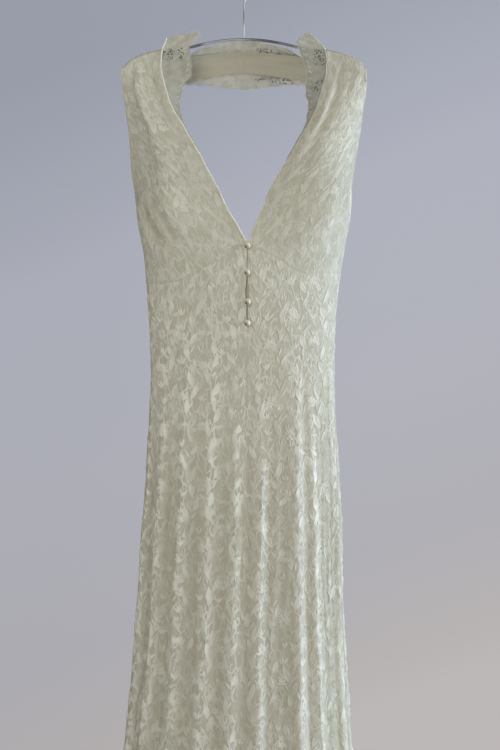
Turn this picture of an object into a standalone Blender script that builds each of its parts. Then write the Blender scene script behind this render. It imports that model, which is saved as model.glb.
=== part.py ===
"""A long halter gown in lined lace, hanging on a thin steel hanger.

Metres, +Z up, +X to the right as the gown is seen from the front, and +Y to its back.
The origin is the inside top of the hanger's hook, where a rail holds it.
A drop is a distance below the crown of the hanger's rod.
An angle goes round the gown from the centre front, in degrees, and is positive towards +X.
"""

import math
from collections import namedtuple

import bpy
from mathutils import Vector

MM = 0.001

# Driving sizes
CROWN_Z = -110 * MM
ROD_RADIUS = 2.1 * MM
HOOK_INSIDE_RADIUS = 18 * MM
HOOK_WIRE_RADIUS = 1.1 * MM
HEM_DROP = 1488 * MM
CLOTH_WALL = 1.6 * MM
LACE_WALL = 1.0 * MM
GAP = 0.3 * MM
PEARL_RADIUS = 5 * MM

# The rod of the hanger, from its crown to one tip; the other half mirrors it
Bend = namedtuple("Bend", "across drop")
ROD = [
    Bend(0, 0),
    Bend(30, 1.8),
    Bend(60, 6.8),
    Bend(90, 14),
    Bend(105, 16.5),
    Bend(120, 18.5),
    Bend(135, 21),
    Bend(150, 25),
    Bend(165, 30.5),
    Bend(176, 37),
    Bend(182, 43),
]
TIP_SLOPE = 0.95
ROD_STEP = 9 * MM
ROD_SIDES = 8

# The hook's stem, in millimetres from the origin
HookPoint = namedtuple("HookPoint", "across up")
HOOK_STEM = [
    HookPoint(0, -80),
    HookPoint(0, -58),
    HookPoint(1.5, -50),
    HookPoint(6, -42),
    HookPoint(12.5, -33),
]
HOOK_END_ANGLE = 195
HOOK_START_ANGLE = -18
HOOK_ARC_STEPS = 16

# The gown's outline, in millimetres. left and right run from the hanger's middle to the sides, and
# centre is where the centre front line is. front and back are depths before and behind the rod.
# inner is half the width of the neck opening, set is how far the side edge stands behind the rod,
# and fall is how far the cloth falls back from its crown towards the neck opening.
Section = namedtuple("Section", "drop left right centre front back inner set fall")
SECTIONS = [
    Section(-15, 187, 187, 0, 7, 60, 120, -5, 0),
    Section(22, 188, 188, 0, 7, 60, 127, -5, 0),
    Section(50, 190, 190, 0, 12, 60, 127, -2, 4),
    Section(80, 188, 190, 0, 20, 60, 120, 5, 8),
    Section(110, 184, 185, 1, 29, 60, 110, 12, 13),
    Section(140, 180, 182, 2, 38, 60, 93, 17, 17),
    Section(170, 178, 177, 2, 47, 60, 76, 20, 18),
    Section(200, 176, 172, 1, 55, 60, 59, 20, 17),
    Section(232, 171, 168, 0, 62, 60, 41, 17, 14),
    Section(264, 167, 165, 1, 67, 60, 27, 13, 10),
    Section(292, 162, 161, 3, 70, 59, 13, 8, 5),
    Section(319, 157, 156, 5, 70, 58, 0, 4, 2),
    Section(340, 154, 153, 5, 69, 57, -12, 2, 0),
    Section(364, 152, 149, 5, 67, 55, -20, 0, 0),
    Section(388, 150, 146, 5, 64, 54, 0, 0, 0),
    Section(419, 148, 143, 5, 61, 53, 0, 0, 0),
    Section(450, 146, 141, 5, 59, 54, 0, 0, 0),
    Section(512, 144, 140, 4, 59, 58, 0, 0, 0),
    Section(574, 146, 141, 3, 63, 68, 0, 0, 0),
    Section(636, 150, 144, 1, 69, 82, 0, 0, 0),
    Section(698, 153, 146, 0, 75, 95, 0, 0, 0),
    Section(760, 158, 149, -2, 79, 104, 0, 0, 0),
    Section(822, 161, 150, -4, 82, 108, 0, 0, 0),
    Section(884, 164, 152, -5, 85, 110, 0, 0, 0),
    Section(946, 168, 155, -6, 89, 114, 0, 0, 0),
    Section(1008, 174, 158, -8, 94, 120, 0, 0, 0),
    Section(1100, 184, 164, -10, 104, 130, 0, 0, 0),
    Section(1250, 204, 186, -10, 124, 152, 0, 0, 0),
    Section(1400, 232, 216, -8, 150, 184, 0, 0, 0),
    Section(1500, 256, 242, -6, 170, 210, 0, 0, 0),
]

# Upright folds of the skirt: where each crest is, half its breadth in degrees, its height in
# millimetres at knee level, and the drop at which it starts
Fold = namedtuple("Fold", "angle breadth height start")
FOLDS = [
    Fold(-77, 5.6, 6, 560),
    Fold(-57, 5.8, 8, 500),
    Fold(-38, 5.6, 8, 460),
    Fold(-20, 5.4, 8, 480),
    Fold(-4, 5.2, 8, 520),
    Fold(10, 4.8, 6, 560),
    Fold(34, 5.6, 9, 480),
    Fold(47, 4.6, 7, 560),
    Fold(72, 6.4, 8, 460),
    Fold(94, 5.6, 6, 560),
    Fold(112, 5.8, 8, 540),
    Fold(131, 5.2, 7, 620),
    Fold(152, 6.0, 9, 500),
    Fold(171, 5.2, 7, 580),
    Fold(189, 5.6, 8, 540),
    Fold(208, 6.0, 9, 500),
    Fold(228, 5.2, 7, 620),
    Fold(246, 5.8, 8, 540),
    Fold(264, 5.4, 6, 580),
]
FOLD_FULL_DROP = 1050
HEM_FOLD_GAIN = 0.9

# Soft ridges and troughs of the bodice. Each runs from its upper to its lower end; share is 0 at the
# neck edge and 1 at the armhole edge, and a negative height is a trough.
Crease = namedtuple("Crease", "side top_share top_drop low_share low_drop breadth height")
CREASES = [
    Crease(-1, 0.62, 60, 0.42, 250, 0.11, 5.0),
    Crease(-1, 0.22, 50, 0.16, 150, 0.09, -3.0),
    Crease(-1, 0.72, 262, 0.58, 318, 0.06, -4.0),
    Crease(-1, 0.60, 255, 0.46, 310, 0.06, -3.0),
    Crease(1, 0.86, 60, 0.72, 250, 0.09, 4.0),
    Crease(1, 0.58, 45, 0.30, 170, 0.10, -4.0),
    Crease(1, 0.30, 60, 0.16, 150, 0.08, 2.5),
    Crease(1, 0.66, 250, 0.60, 320, 0.05, -3.0),
]

# The cups stand proud of the panels round this place
CUP_SHARE = 0.48
CUP_SHARE_REACH = 0.30
CUP_DROP = 268 * MM
CUP_DROP_REACH = 62 * MM
CUP_HEIGHT = 15 * MM

# The seam under each cup, and the low edge of the back
Edge = namedtuple("Edge", "angle drop")
CUP_SEAM = {
    -1: [Edge(0, 322), Edge(12, 336), Edge(24, 356), Edge(34, 372), Edge(45, 378), Edge(62, 380), Edge(90, 379)],
    1: [Edge(0, 322), Edge(10, 334), Edge(20, 346), Edge(28, 359), Edge(38, 366), Edge(62, 364), Edge(90, 363)],
}
BACK_EDGE = [Edge(90, 322), Edge(108, 341), Edge(130, 383), Edge(155, 420), Edge(180, 430)]

# The button opening: how wide it stands open at each drop, all in millimetres
Opening = namedtuple("Opening", "drop width")
SLIT = [
    Opening(322, 0.3),
    Opening(343, 0.9),
    Opening(364, 0.3),
    Opening(386, 4.4),
    Opening(409, 0.5),
    Opening(425, 3.4),
    Opening(441, 0.3),
    Opening(480, 0.3),
    Opening(1500, 0.3),
]
BUTTON_DROPS = (324 * MM, 364 * MM, 409 * MM, 441 * MM)
BUTTON_SEGMENTS = 12
BUTTON_RINGS = 8

# Above this drop the front's plan is a flat bow, and over this length below it, it becomes an ellipse
BOW_DROP = 150 * MM
BOW_LENGTH = 175 * MM

# Rows of the grids, as drops in millimetres on the centre front or centre back line. The upper ones
# follow the cup seam or the back's low edge, and those of the skirt are level.
FRONT_ROWS = (322, 343, 364, 386, 409, 425, 441, 490)
BACK_ROWS = (430, 455, 500)
SKIRT_ROWS = (550, 620, 700, 785, 875, 970, 1070, 1180, 1300, 1400, 1488)
QUARTER_COLUMNS = 24
BODICE_ROWS = 14

# Where the strap goes over the rod
WRAP_REACH = 5.8 * MM
WRAP_REST = ROD_RADIUS + GAP + CLOTH_WALL
WRAP_STEPS = 6
WRAP_END_INNER = 26 * MM
WRAP_END_OUTER = 64 * MM
WRAP_APPROACH = 45 * MM

# The band behind the neck, on its centre back seam
BAND_BACK = 42 * MM
BAND_TOP_DROP = 12 * MM
BAND_LOW_DROP = 47 * MM
BAND_COLUMNS = 14
BAND_ROWS = 5

# Lace edging of the neck opening, for each side, in millimetres: how wide it is, how far it turns
# back in degrees, how far its free edge rises, and how far its sewn edge leans in
NeckLace = namedtuple("NeckLace", "drop width turn rise lean")
NECK_LACE = {
    -1: [
        NeckLace(190, 1.5, 50, 0, 0),
        NeckLace(165, 3, 50, 0, 0),
        NeckLace(136, 4, 48, 0, 0),
        NeckLace(108, 15, 42, 0, 0),
        NeckLace(80, 26, 24, 0, 0),
        NeckLace(66, 34, 10, 0, 0),
        NeckLace(58, 43, 6, 0, 0),
        NeckLace(42, 46, 2, 0, 0),
        NeckLace(26, 44, 0, 0, 0),
        NeckLace(12, 40, 0, 3, 1),
        NeckLace(4, 44, 0, 8, 3),
        NeckLace(-1, 53, 0, 12, 4),
    ],
    1: [
        NeckLace(190, 1.5, 50, 0, 0),
        NeckLace(165, 3, 50, 0, 0),
        NeckLace(136, 5, 48, 0, 0),
        NeckLace(108, 17, 42, 0, 0),
        NeckLace(80, 26, 24, 0, 0),
        NeckLace(62, 28, 10, 0, 0),
        NeckLace(42, 32, 2, 0, 0),
        NeckLace(24, 38, 0, 1, 1),
        NeckLace(12, 40, 0, 5, 3),
        NeckLace(2, 32, 0, 2, 11),
        NeckLace(-7, 11, 0, -3, 18),
    ],
}
NECK_LACE_SETBACK = 1.2 * MM
NECK_LACE_GAP = 0.9 * MM
NECK_LACE_ROWS = 40
NECK_LACE_COLUMNS = 2
SCALLOP_PITCH = 16 * MM
SCALLOP_DEPTH = 1.6 * MM
RUFFLE_HEIGHT = 1.6 * MM
RUFFLE_PITCH = 37 * MM

# Lace edging of the band: across is the distance from the centre back, width the lace's own
BandLace = namedtuple("BandLace", "across width")
BAND_LACE_LOW = [BandLace(0, 27), BandLace(30, 21), BandLace(60, 14), BandLace(88, 9), BandLace(112, 6), BandLace(138, 2)]
BAND_LACE_TOP = [BandLace(0, 11), BandLace(30, 11), BandLace(60, 10), BandLace(88, 3)]
BAND_LACE_REACH = 0.62
BAND_LACE_GAP = 0.6 * MM
BAND_LACE_ROWS = 44
BAND_LACE_COLUMNS = 1

Finish = namedtuple("Finish", "colour roughness metallic")
FINISHES = {
    "lined_lace": Finish((0.80, 0.78, 0.70), 0.62, 0.0),
    "sheer_lace": Finish((0.84, 0.83, 0.76), 0.70, 0.0),
    "pearl": Finish((0.86, 0.82, 0.74), 0.18, 0.0),
    "steel": Finish((0.62, 0.63, 0.65), 0.16, 1.0),
}


def smooth(x):
    """0 below 0, 1 above 1, and an even rise between."""
    x = min(max(x, 0.0), 1.0)
    return x * x * (3 - 2 * x)


def bell(x):
    return math.exp(-x * x)


def along(table, key, column):
    """A table's column at key, on a smooth curve through its rows. The first column is the key."""
    keys = [row[0] for row in table]
    values = [getattr(row, column) for row in table]
    key = min(max(key, keys[0]), keys[-1])
    i = max(j for j in range(len(keys) - 1) if keys[j] <= key)

    def slope(j):
        a, b = max(j - 1, 0), min(j + 1, len(keys) - 1)
        return (values[b] - values[a]) / (keys[b] - keys[a])

    span = keys[i + 1] - keys[i]
    t = (key - keys[i]) / span
    rise = values[i + 1] - values[i]
    start, end = slope(i) * span, slope(i + 1) * span
    return values[i] + t * start + t * t * (3 * rise - 2 * start - end) + t**3 * (start + end - 2 * rise)


def spread(first, last, count):
    """count + 1 even values from first to last."""
    return [first + (last - first) * i / count for i in range(count + 1)]


def rod_drop(x):
    """The rod's drop at x, on a straight line past its tip."""
    beyond = max(abs(x) - ROD[-1].across * MM, 0)
    return along(ROD, abs(x) / MM, "drop") * MM + beyond * TIP_SLOPE


def side_of(angle):
    return -1 if math.sin(math.radians(angle)) < 0 else 1


def fold_height(angle, drop):
    """How far the skirt's upright folds stand out. Each dips beside its crest, so the outline keeps its width."""
    mm_drop = drop / MM
    gain = 1 + HEM_FOLD_GAIN * smooth((mm_drop - FOLD_FULL_DROP) / (HEM_DROP / MM - FOLD_FULL_DROP))
    total = 0.0
    for fold in FOLDS:
        away = (angle - fold.angle + 180) % 360 - 180
        growth = smooth((mm_drop - fold.start) / (FOLD_FULL_DROP - fold.start)) ** 0.8
        total += fold.height * growth * gain * (bell(away / fold.breadth) - 0.5 * bell(away / fold.breadth / 2))
    return total * MM


def crease_height(side, share, drop):
    total = 0.0
    for crease in CREASES:
        if crease.side != side:
            continue
        t = (drop / MM - crease.top_drop) / (crease.low_drop - crease.top_drop)
        middle = crease.top_share + (crease.low_share - crease.top_share) * min(max(t, 0), 1)
        fade = smooth((t + 0.25) / 0.35) * smooth((1.25 - t) / 0.35)
        total += crease.height * fade * bell((share - middle) / crease.breadth)
    return total * MM * smooth((1 - share) / 0.1)


def cup_height(share, drop):
    across = bell((share - CUP_SHARE) / CUP_SHARE_REACH)
    return CUP_HEIGHT * across * bell((drop - CUP_DROP) / CUP_DROP_REACH) * smooth((1 - share) / 0.1)


def gown_point(angle, drop):
    """The gown's outer face, at an angle round it and a drop below the rod's crown.

    Its plan is half an ellipse before and behind, and before it the ellipse opens into a flat bow
    towards the rod.
    """
    row = {name: along(SECTIONS, drop / MM, name) * MM for name in Section._fields[1:]}
    side = side_of(angle)
    sine, cosine = abs(math.sin(math.radians(angle))), math.cos(math.radians(angle))
    share = min(abs(angle) / 90, 1.0)
    across = sine if cosine < 0 else share + (sine - share) * smooth((drop - BOW_DROP) / BOW_LENGTH)
    inner = max(row["inner"], 0.0)
    half = (row["right"] - row["centre"] if side > 0 else row["left"] + row["centre"]) - inner
    if cosine >= 0:
        deep = row["front"] + row["set"]
        y = row["set"] - deep * cosine + row["fall"] * (1 - sine) ** 2
        relief = cup_height(share, drop) + crease_height(side, share, drop)
    else:
        deep = row["back"] - row["set"]
        y = row["set"] - deep * cosine
        relief = 0.0
    relief += fold_height(angle, drop)
    out = Vector((side * sine * deep, -cosine * half, 0)).normalized()
    foot = Vector((row["centre"] + side * (inner + half * across), y, CROWN_Z - drop))
    return foot + out * relief


def cup_seam(angle):
    return along(CUP_SEAM[side_of(angle)], abs(angle), "drop") * MM


def back_edge(angle):
    return along(BACK_EDGE, abs(angle), "drop") * MM


def wrap_top(angle):
    """The drop at which a strap's point is level with the rod under it."""
    drop = 30 * MM
    for _ in range(3):
        drop = rod_drop(gown_point(angle, drop).x)
    return drop


def strap_point(side, share, stage):
    """A halter front: stage 0 to 1 from the cup seam up to the rod, 1 to 2 over it, 2 to 3 down behind it."""
    angle = side * 90 * max(share, 0.001)
    top = wrap_top(angle)
    if stage <= 1:
        drop = cup_seam(angle) + (top - cup_seam(angle)) * stage
        point = gown_point(angle, drop)
        near = smooth(1 - (drop - top) / WRAP_APPROACH)
        point.y = point.y * (1 - near) - WRAP_REACH * near
        return point
    point = gown_point(angle, top)
    slope = (rod_drop(abs(point.x) + MM) - rod_drop(abs(point.x) - MM)) / (2 * MM)
    loft = WRAP_REST * math.hypot(1, slope)
    turn = math.pi * min(stage - 1, 1)
    end = WRAP_END_INNER + (WRAP_END_OUTER - WRAP_END_INNER) * share**1.4
    point.y = -WRAP_REACH * math.cos(turn)
    point.z = CROWN_Z - top + loft * math.sin(turn) - (end - top) * max(stage - 2, 0)
    return point


def band_point(side, share, reach):
    """The band behind the neck: reach is 0 where the strap comes down behind the rod and 1 at centre back."""
    start = strap_point(side, share, 3) + Vector((-side * GAP, GAP, -GAP))
    end = Vector((0, BAND_BACK, CROWN_Z - BAND_TOP_DROP - (BAND_LOW_DROP - BAND_TOP_DROP) * share))
    leave = Vector((-side * 60, 45, -10 - 50 * share)) * MM
    arrive = Vector((-side * (120 + 50 * share), 0, 0)) * MM
    t = reach
    return (
        start * (2 * t**3 - 3 * t**2 + 1)
        + leave * (t**3 - 2 * t**2 + t)
        + end * (3 * t**2 - 2 * t**3)
        + arrive * (t**3 - t**2)
    )


def scallop(distance):
    """The lace's free edge: 1 at the middle of a scallop and 0 where two meet."""
    return abs(math.sin(math.pi * distance / SCALLOP_PITCH))


def neck_lace_point(side, drop, share):
    """Lace along the neck opening: share is 0 at the strap's edge and 1 at the free edge."""
    table = NECK_LACE[side][::-1]
    width, turn, rise, lean = (along(table, drop / MM, name) for name in NeckLace._fields[1:])
    base = gown_point(0.2 * side, max(drop, wrap_top(0)))
    level = wrap_top(0)
    if drop < level + WRAP_APPROACH:
        near = smooth(1 - (drop - level) / WRAP_APPROACH)
        base.y = base.y * (1 - near) - (WRAP_REACH + NECK_LACE_SETBACK) * near
    base.x = gown_point(0.2 * side, drop).x - side * lean * MM
    base.z = CROWN_Z - drop
    turned = math.radians(turn)
    away = Vector((-side * math.cos(turned), math.sin(turned), 0))
    wide = width * MM - SCALLOP_DEPTH * (1 - scallop(drop)) * min(1, width / 10)
    wave = RUFFLE_HEIGHT * share * math.sin(2 * math.pi * drop / RUFFLE_PITCH) * min(1, width / 20)
    across = Vector((-away.y, away.x, 0)) * side
    wave *= smooth((drop + 12 * MM) / (30 * MM))
    return base + away * (NECK_LACE_GAP + wide * share) + across * wave + Vector((0, 0, rise * MM * share))


def band_lace_point(low, place, share):
    """Lace along the band's lower or upper edge: place runs from -1 to 1 across the centre back."""
    side = -1 if place < 0 else 1
    reach = 1 - abs(place) * BAND_LACE_REACH
    edge, within = (1.0, 0.8) if low else (0.0, 0.2)
    base = band_point(side, edge, reach)
    onward = (base - band_point(side, within, reach)).normalized()
    width = along(BAND_LACE_LOW if low else BAND_LACE_TOP, abs(base.x) / MM, "width") * MM
    wide = width - SCALLOP_DEPTH * (1 - scallop(base.x + SCALLOP_PITCH / 2))
    wave = RUFFLE_HEIGHT * share * math.sin(2 * math.pi * base.x / RUFFLE_PITCH)
    return base + onward * (BAND_LACE_GAP + wide * share) + Vector((0, wave, 0))


def normal_of(surface, u, v, step_u, step_v):
    """The unit normal of surface(u, v), by small steps either way."""
    along_u = surface(u + step_u, v) - surface(u - step_u, v)
    along_v = surface(u, v + step_v) - surface(u, v - step_v)
    return along_u.cross(along_v).normalized()


def named_material(slot):
    material = bpy.data.materials.get(slot) or bpy.data.materials.new(slot)
    finish = FINISHES[slot]
    material.use_nodes = True
    shader = material.node_tree.nodes["Principled BSDF"]
    shader.inputs["Base Color"].default_value = (*finish.colour, 1)
    shader.inputs["Roughness"].default_value = finish.roughness
    shader.inputs["Metallic"].default_value = finish.metallic
    return material


def make_object(name, points, faces, slot):
    mesh = bpy.data.meshes.new(name)
    mesh.from_pydata([tuple(p) for p in points], [], faces)
    mesh.update()
    mesh.shade_smooth()
    mesh.set_sharp_from_angle(angle=math.radians(50))
    made = bpy.data.objects.new(name, mesh)
    made.data.materials.append(named_material(slot))
    bpy.context.scene.collection.objects.link(made)
    return made


def volume_of(points, faces):
    """Signed volume, from the tetrahedra between the first point and each face."""
    first = points[0]
    total = 0.0
    for face in faces:
        a = points[face[0]] - first
        for i in range(1, len(face) - 1):
            total += a.dot((points[face[i]] - first).cross(points[face[i + 1]] - first)) / 6
    return total


def cloth(name, grid, normals, wall, slot):
    """A closed wall of cloth: the grid's points are its outer face, and its inner face lies under them."""
    rows, columns = len(grid), len(grid[0])
    outer = [p for row in grid for p in row]
    inner = [p - n * wall for row, ns in zip(grid, normals) for p, n in zip(row, ns)]
    under = len(outer)

    def at(i, j):
        return i * columns + j

    faces = []
    for i in range(rows - 1):
        for j in range(columns - 1):
            square = (at(i, j), at(i, j + 1), at(i + 1, j + 1), at(i + 1, j))
            faces.append(square)
            faces.append(tuple(under + k for k in reversed(square)))
    rim = (
        [at(0, j) for j in range(columns)]
        + [at(i, columns - 1) for i in range(1, rows)]
        + [at(rows - 1, j) for j in range(columns - 2, -1, -1)]
        + [at(i, 0) for i in range(rows - 2, 0, -1)]
    )
    for here, there in zip(rim, rim[1:] + rim[:1]):
        faces.append((there, here, under + here, under + there))
    points = outer + inner
    if volume_of(points, faces) < 0:
        faces = [tuple(reversed(face)) for face in faces]
    return make_object(name, points, faces, slot)


def outward(normal, point, inside):
    """normal, turned if need be to point away from inside."""
    return normal if normal.dot(point - inside) > 0 else -normal


def quarter(name, side, from_front):
    """A quarter of the gown below the cups or below the low back, from a centre line to a side seam."""
    first_edge, upper_rows = (cup_seam, FRONT_ROWS) if from_front else (back_edge, BACK_ROWS)
    centre, seam = (0, 90) if from_front else (180, 90)
    first = upper_rows[0] * MM
    grid, normals = [], []
    for row_drop in [d * MM for d in upper_rows + SKIRT_ROWS]:
        follow = max(0, 1 - (row_drop - first) / (SKIRT_ROWS[0] * MM - first))
        row, row_normals = [], []
        for column in range(QUARTER_COLUMNS + 1):
            angle = centre + (seam - centre) * column / QUARTER_COLUMNS
            drop = row_drop + (first_edge(side * angle) - first) * follow
            if row_drop == first:
                drop += GAP / 2
            half_gap = GAP / 2
            if from_front and column == 0:
                half_gap = along(SLIT, drop / MM, "width") * MM / 2
            if column == QUARTER_COLUMNS and not from_front:
                half_gap = GAP
            if column in (0, QUARTER_COLUMNS):
                inward = 1 if (column == 0) == from_front else -1
                per_degree = (gown_point(side * (angle + 0.5), drop) - gown_point(side * (angle - 0.5), drop)).length
                angle += inward * half_gap / per_degree
            point = gown_point(side * angle, drop)
            normal = normal_of(lambda a, d: gown_point(a, d), side * angle, drop, 0.2, 1 * MM)
            row.append(point)
            row_normals.append(outward(normal, point, Vector((0, 0, point.z))))
        grid.append(row)
        normals.append(row_normals)
    return cloth(name, grid, normals, CLOTH_WALL, "lined_lace")


def bodice(name, side):
    """A halter front: the cup, the strap above it, and the strap's turn over the rod."""
    stages = spread(0, 1, BODICE_ROWS) + spread(1, 2, WRAP_STEPS)[1:] + [3]
    shares = spread(0, 1, QUARTER_COLUMNS)
    edge_share = GAP / 2 / (200 * MM)
    shares[0], shares[-1] = edge_share, 1 - edge_share
    grid, normals = [], []
    for stage in stages:
        row, row_normals = [], []
        for share in shares:
            height = stage
            if stage == 0:
                angle = side * 90 * share
                height = GAP / 2 / (cup_seam(angle) - wrap_top(angle))
            point = strap_point(side, share, height)
            surface = lambda s, h: strap_point(side, s, h)
            safe = min(max(share, 0.004), 0.996)
            normal = normal_of(surface, safe, height, 0.003, 0.004)
            middle = Vector((point.x * 0.8, 0.0, point.z)) if stage <= 1 else Vector((point.x, 0, CROWN_Z - wrap_top(90 * side * share)))
            if stage == 3:
                middle = point - Vector((0, 1, 0))
            row.append(point)
            row_normals.append(outward(normal, point, middle))
        grid.append(row)
        normals.append(row_normals)
    return cloth(name, grid, normals, CLOTH_WALL, "lined_lace")


def surface_piece(name, surface, us, vs, wall, slot, inside):
    """A wall over surface(u, v), whose outer face looks away from the point that inside gives."""
    grid, normals = [], []
    for u in us:
        grid.append([surface(u, v) for v in vs])
        ns = []
        for v, point in zip(vs, grid[-1]):
            step_u, step_v = (us[1] - us[0]) / 20, 0.01
            ns.append(outward(normal_of(surface, u, v, step_u, step_v), point, inside(point)))
        normals.append(ns)
    return cloth(name, grid, normals, wall, slot)


def band(name, side):
    near = GAP / 2 / (180 * MM)
    reaches = spread(0, 1 - near, BAND_COLUMNS)
    shares = spread(0.01, 0.99, BAND_ROWS)
    before = lambda p: p - Vector((0, 1, 0))
    return surface_piece(
        name, lambda r, s: band_point(side, s, r), reaches, shares, CLOTH_WALL, "lined_lace", before
    )


def neck_lace(name, side):
    table = NECK_LACE[side]
    drops = spread(table[0].drop * MM, table[-1].drop * MM, NECK_LACE_ROWS)
    shares = spread(0, 1, NECK_LACE_COLUMNS)
    behind = lambda p: p + Vector((side * 0.3, 1, 0))
    surface = lambda d, s: neck_lace_point(side, d, s)
    return surface_piece(name, surface, drops, shares, LACE_WALL, "sheer_lace", behind)


def band_lace(name, low):
    places = spread(-1, 1, BAND_LACE_ROWS)
    shares = spread(0, 1, BAND_LACE_COLUMNS)
    before = lambda p: p - Vector((0, 1, 0))
    surface = lambda p, s: band_lace_point(low, p, s)
    return surface_piece(name, surface, places, shares, LACE_WALL, "sheer_lace", before)


def tube(name, path, radius, sides, slot):
    """A closed round rod along a path that lies in a plane of constant Y."""
    points, faces = [], []
    across = Vector((0, 1, 0))
    for i, middle in enumerate(path):
        ahead = (path[min(i + 1, len(path) - 1)] - path[max(i - 1, 0)]).normalized()
        up = across.cross(ahead)
        for k in range(sides):
            turn = 2 * math.pi * k / sides
            points.append(middle + radius * (across * math.cos(turn) + up * math.sin(turn)))
    for i in range(len(path) - 1):
        for k in range(sides):
            a, b = i * sides + k, i * sides + (k + 1) % sides
            faces.append((a, b, b + sides, a + sides))
    last = (len(path) - 1) * sides
    faces.append(tuple(range(sides - 1, -1, -1)))
    faces.append(tuple(last + k for k in range(sides)))
    if volume_of(points, faces) < 0:
        faces = [tuple(reversed(face)) for face in faces]
    return make_object(name, points, faces, slot)


def rod_path():
    reach = ROD[-1].across * MM
    tip = Vector((reach, 0, CROWN_Z - ROD[-1].drop * MM))
    steps = round(reach / ROD_STEP)
    half = [Vector((x, 0, CROWN_Z - rod_drop(x))) for x in spread(0, reach, steps)]
    half[-1] = tip
    return [Vector((-p.x, 0, p.z)) for p in reversed(half[1:])] + half


def hook_path():
    """Up the stem from just over the rod, out to the side and over the top, in the plane of the rod."""
    radius = HOOK_INSIDE_RADIUS + HOOK_WIRE_RADIUS
    foot = Vector((0, 0, CROWN_Z + ROD_RADIUS + GAP))
    centre = Vector((0, 0, -HOOK_INSIDE_RADIUS))
    stem = [foot] + [Vector((p.across * MM, 0, p.up * MM)) for p in HOOK_STEM]
    arc = []
    for degrees in spread(HOOK_START_ANGLE, HOOK_END_ANGLE, HOOK_ARC_STEPS):
        turn = math.radians(degrees)
        arc.append(centre + radius * Vector((math.cos(turn), 0, math.sin(turn))))
    return stem + arc


def pearl(name, drop):
    """A round pearl button, seated on the centre front line."""
    front = gown_point(0, drop)
    points = [Vector((0, 0, 1))]
    for ring in range(1, BUTTON_RINGS):
        polar = math.pi * ring / BUTTON_RINGS
        for k in range(BUTTON_SEGMENTS):
            turn = 2 * math.pi * k / BUTTON_SEGMENTS
            points.append(Vector((math.sin(polar) * math.cos(turn), math.sin(polar) * math.sin(turn), math.cos(polar))))
    points.append(Vector((0, 0, -1)))
    last = len(points) - 1
    faces = []
    for k in range(BUTTON_SEGMENTS):
        following = (k + 1) % BUTTON_SEGMENTS
        faces.append((0, 1 + k, 1 + following))
        bottom = last - BUTTON_SEGMENTS
        faces.append((last, bottom + following, bottom + k))
        for ring in range(BUTTON_RINGS - 2):
            a, b = 1 + ring * BUTTON_SEGMENTS + k, 1 + ring * BUTTON_SEGMENTS + following
            faces.append((a, a + BUTTON_SEGMENTS, b + BUTTON_SEGMENTS, b))
    points = [p * PEARL_RADIUS for p in points]
    made = make_object(name, points, faces, "pearl")
    made.location = front + Vector((0, -PEARL_RADIUS - GAP, 0))
    return made


def main():
    for old in list(bpy.data.objects):
        bpy.data.objects.remove(old)
    for side, word in ((-1, "left"), (1, "right")):
        bodice(f"bodice_{word}", side)
        quarter(f"front_{word}", side, True)
        quarter(f"back_{word}", side, False)
        band(f"neck_band_{word}", side)
        neck_lace(f"neck_lace_{word}", side)
    band_lace("band_lace_low", True)
    band_lace("band_lace_top", False)
    for number, drop in enumerate(BUTTON_DROPS, 1):
        pearl(f"pearl_button_{number}", drop)
    tube("hanger_rod", rod_path(), ROD_RADIUS, ROD_SIDES, "steel")
    tube("hanger_hook", hook_path(), HOOK_WIRE_RADIUS, ROD_SIDES, "steel")


main()
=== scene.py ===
import math
from collections import namedtuple

import bpy
import numpy as np
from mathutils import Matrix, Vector

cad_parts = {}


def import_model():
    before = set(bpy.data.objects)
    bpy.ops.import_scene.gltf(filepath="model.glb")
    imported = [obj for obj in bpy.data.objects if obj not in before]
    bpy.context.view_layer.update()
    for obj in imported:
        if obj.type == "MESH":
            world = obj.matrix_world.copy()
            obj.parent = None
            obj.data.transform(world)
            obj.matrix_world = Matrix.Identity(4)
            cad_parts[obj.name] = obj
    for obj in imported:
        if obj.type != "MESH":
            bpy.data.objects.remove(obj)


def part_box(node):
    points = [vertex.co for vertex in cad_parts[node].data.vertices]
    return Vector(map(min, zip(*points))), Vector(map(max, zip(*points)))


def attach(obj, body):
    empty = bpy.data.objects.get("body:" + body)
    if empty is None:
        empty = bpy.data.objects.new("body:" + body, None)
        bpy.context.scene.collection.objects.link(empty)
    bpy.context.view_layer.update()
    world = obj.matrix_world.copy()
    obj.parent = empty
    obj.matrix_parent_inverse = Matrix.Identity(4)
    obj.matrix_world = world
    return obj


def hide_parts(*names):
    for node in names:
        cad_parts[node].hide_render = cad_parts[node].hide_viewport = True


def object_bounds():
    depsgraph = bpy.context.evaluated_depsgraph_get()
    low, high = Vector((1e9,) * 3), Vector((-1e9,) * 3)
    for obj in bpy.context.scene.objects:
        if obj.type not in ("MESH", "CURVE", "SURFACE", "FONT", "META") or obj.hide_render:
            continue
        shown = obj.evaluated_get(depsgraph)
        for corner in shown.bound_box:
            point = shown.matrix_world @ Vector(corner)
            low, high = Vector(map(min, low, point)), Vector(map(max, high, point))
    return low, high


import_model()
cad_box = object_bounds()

# The look of the lace halter gown: fine cloth over the solids' form, lace leaves and flowers sewn on
# it, sheer edgings, pearl buttons and a steel hanger. Everything is in metres unless it says
# otherwise. A drop is a distance below the crown of the hanger's rod, and a turn is an angle round
# the gown in degrees: 0 at the centre front, 90 at a side seam and 180 at the centre back. A side is
# -1 to the left and 1 to the right, as the gown is seen from the front.

MM = 0.001

# Driving sizes, as in the solids
CROWN_Z = -110 * MM
ROD_RADIUS = 2.1 * MM
HOOK_INSIDE_RADIUS = 18 * MM
HOOK_WIRE_RADIUS = 1.1 * MM
HEM_DROP = 1488 * MM
CLOTH_WALL = 1.6 * MM
GAP = 0.3 * MM
SHEER_WALL = 0.5 * MM

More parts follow.
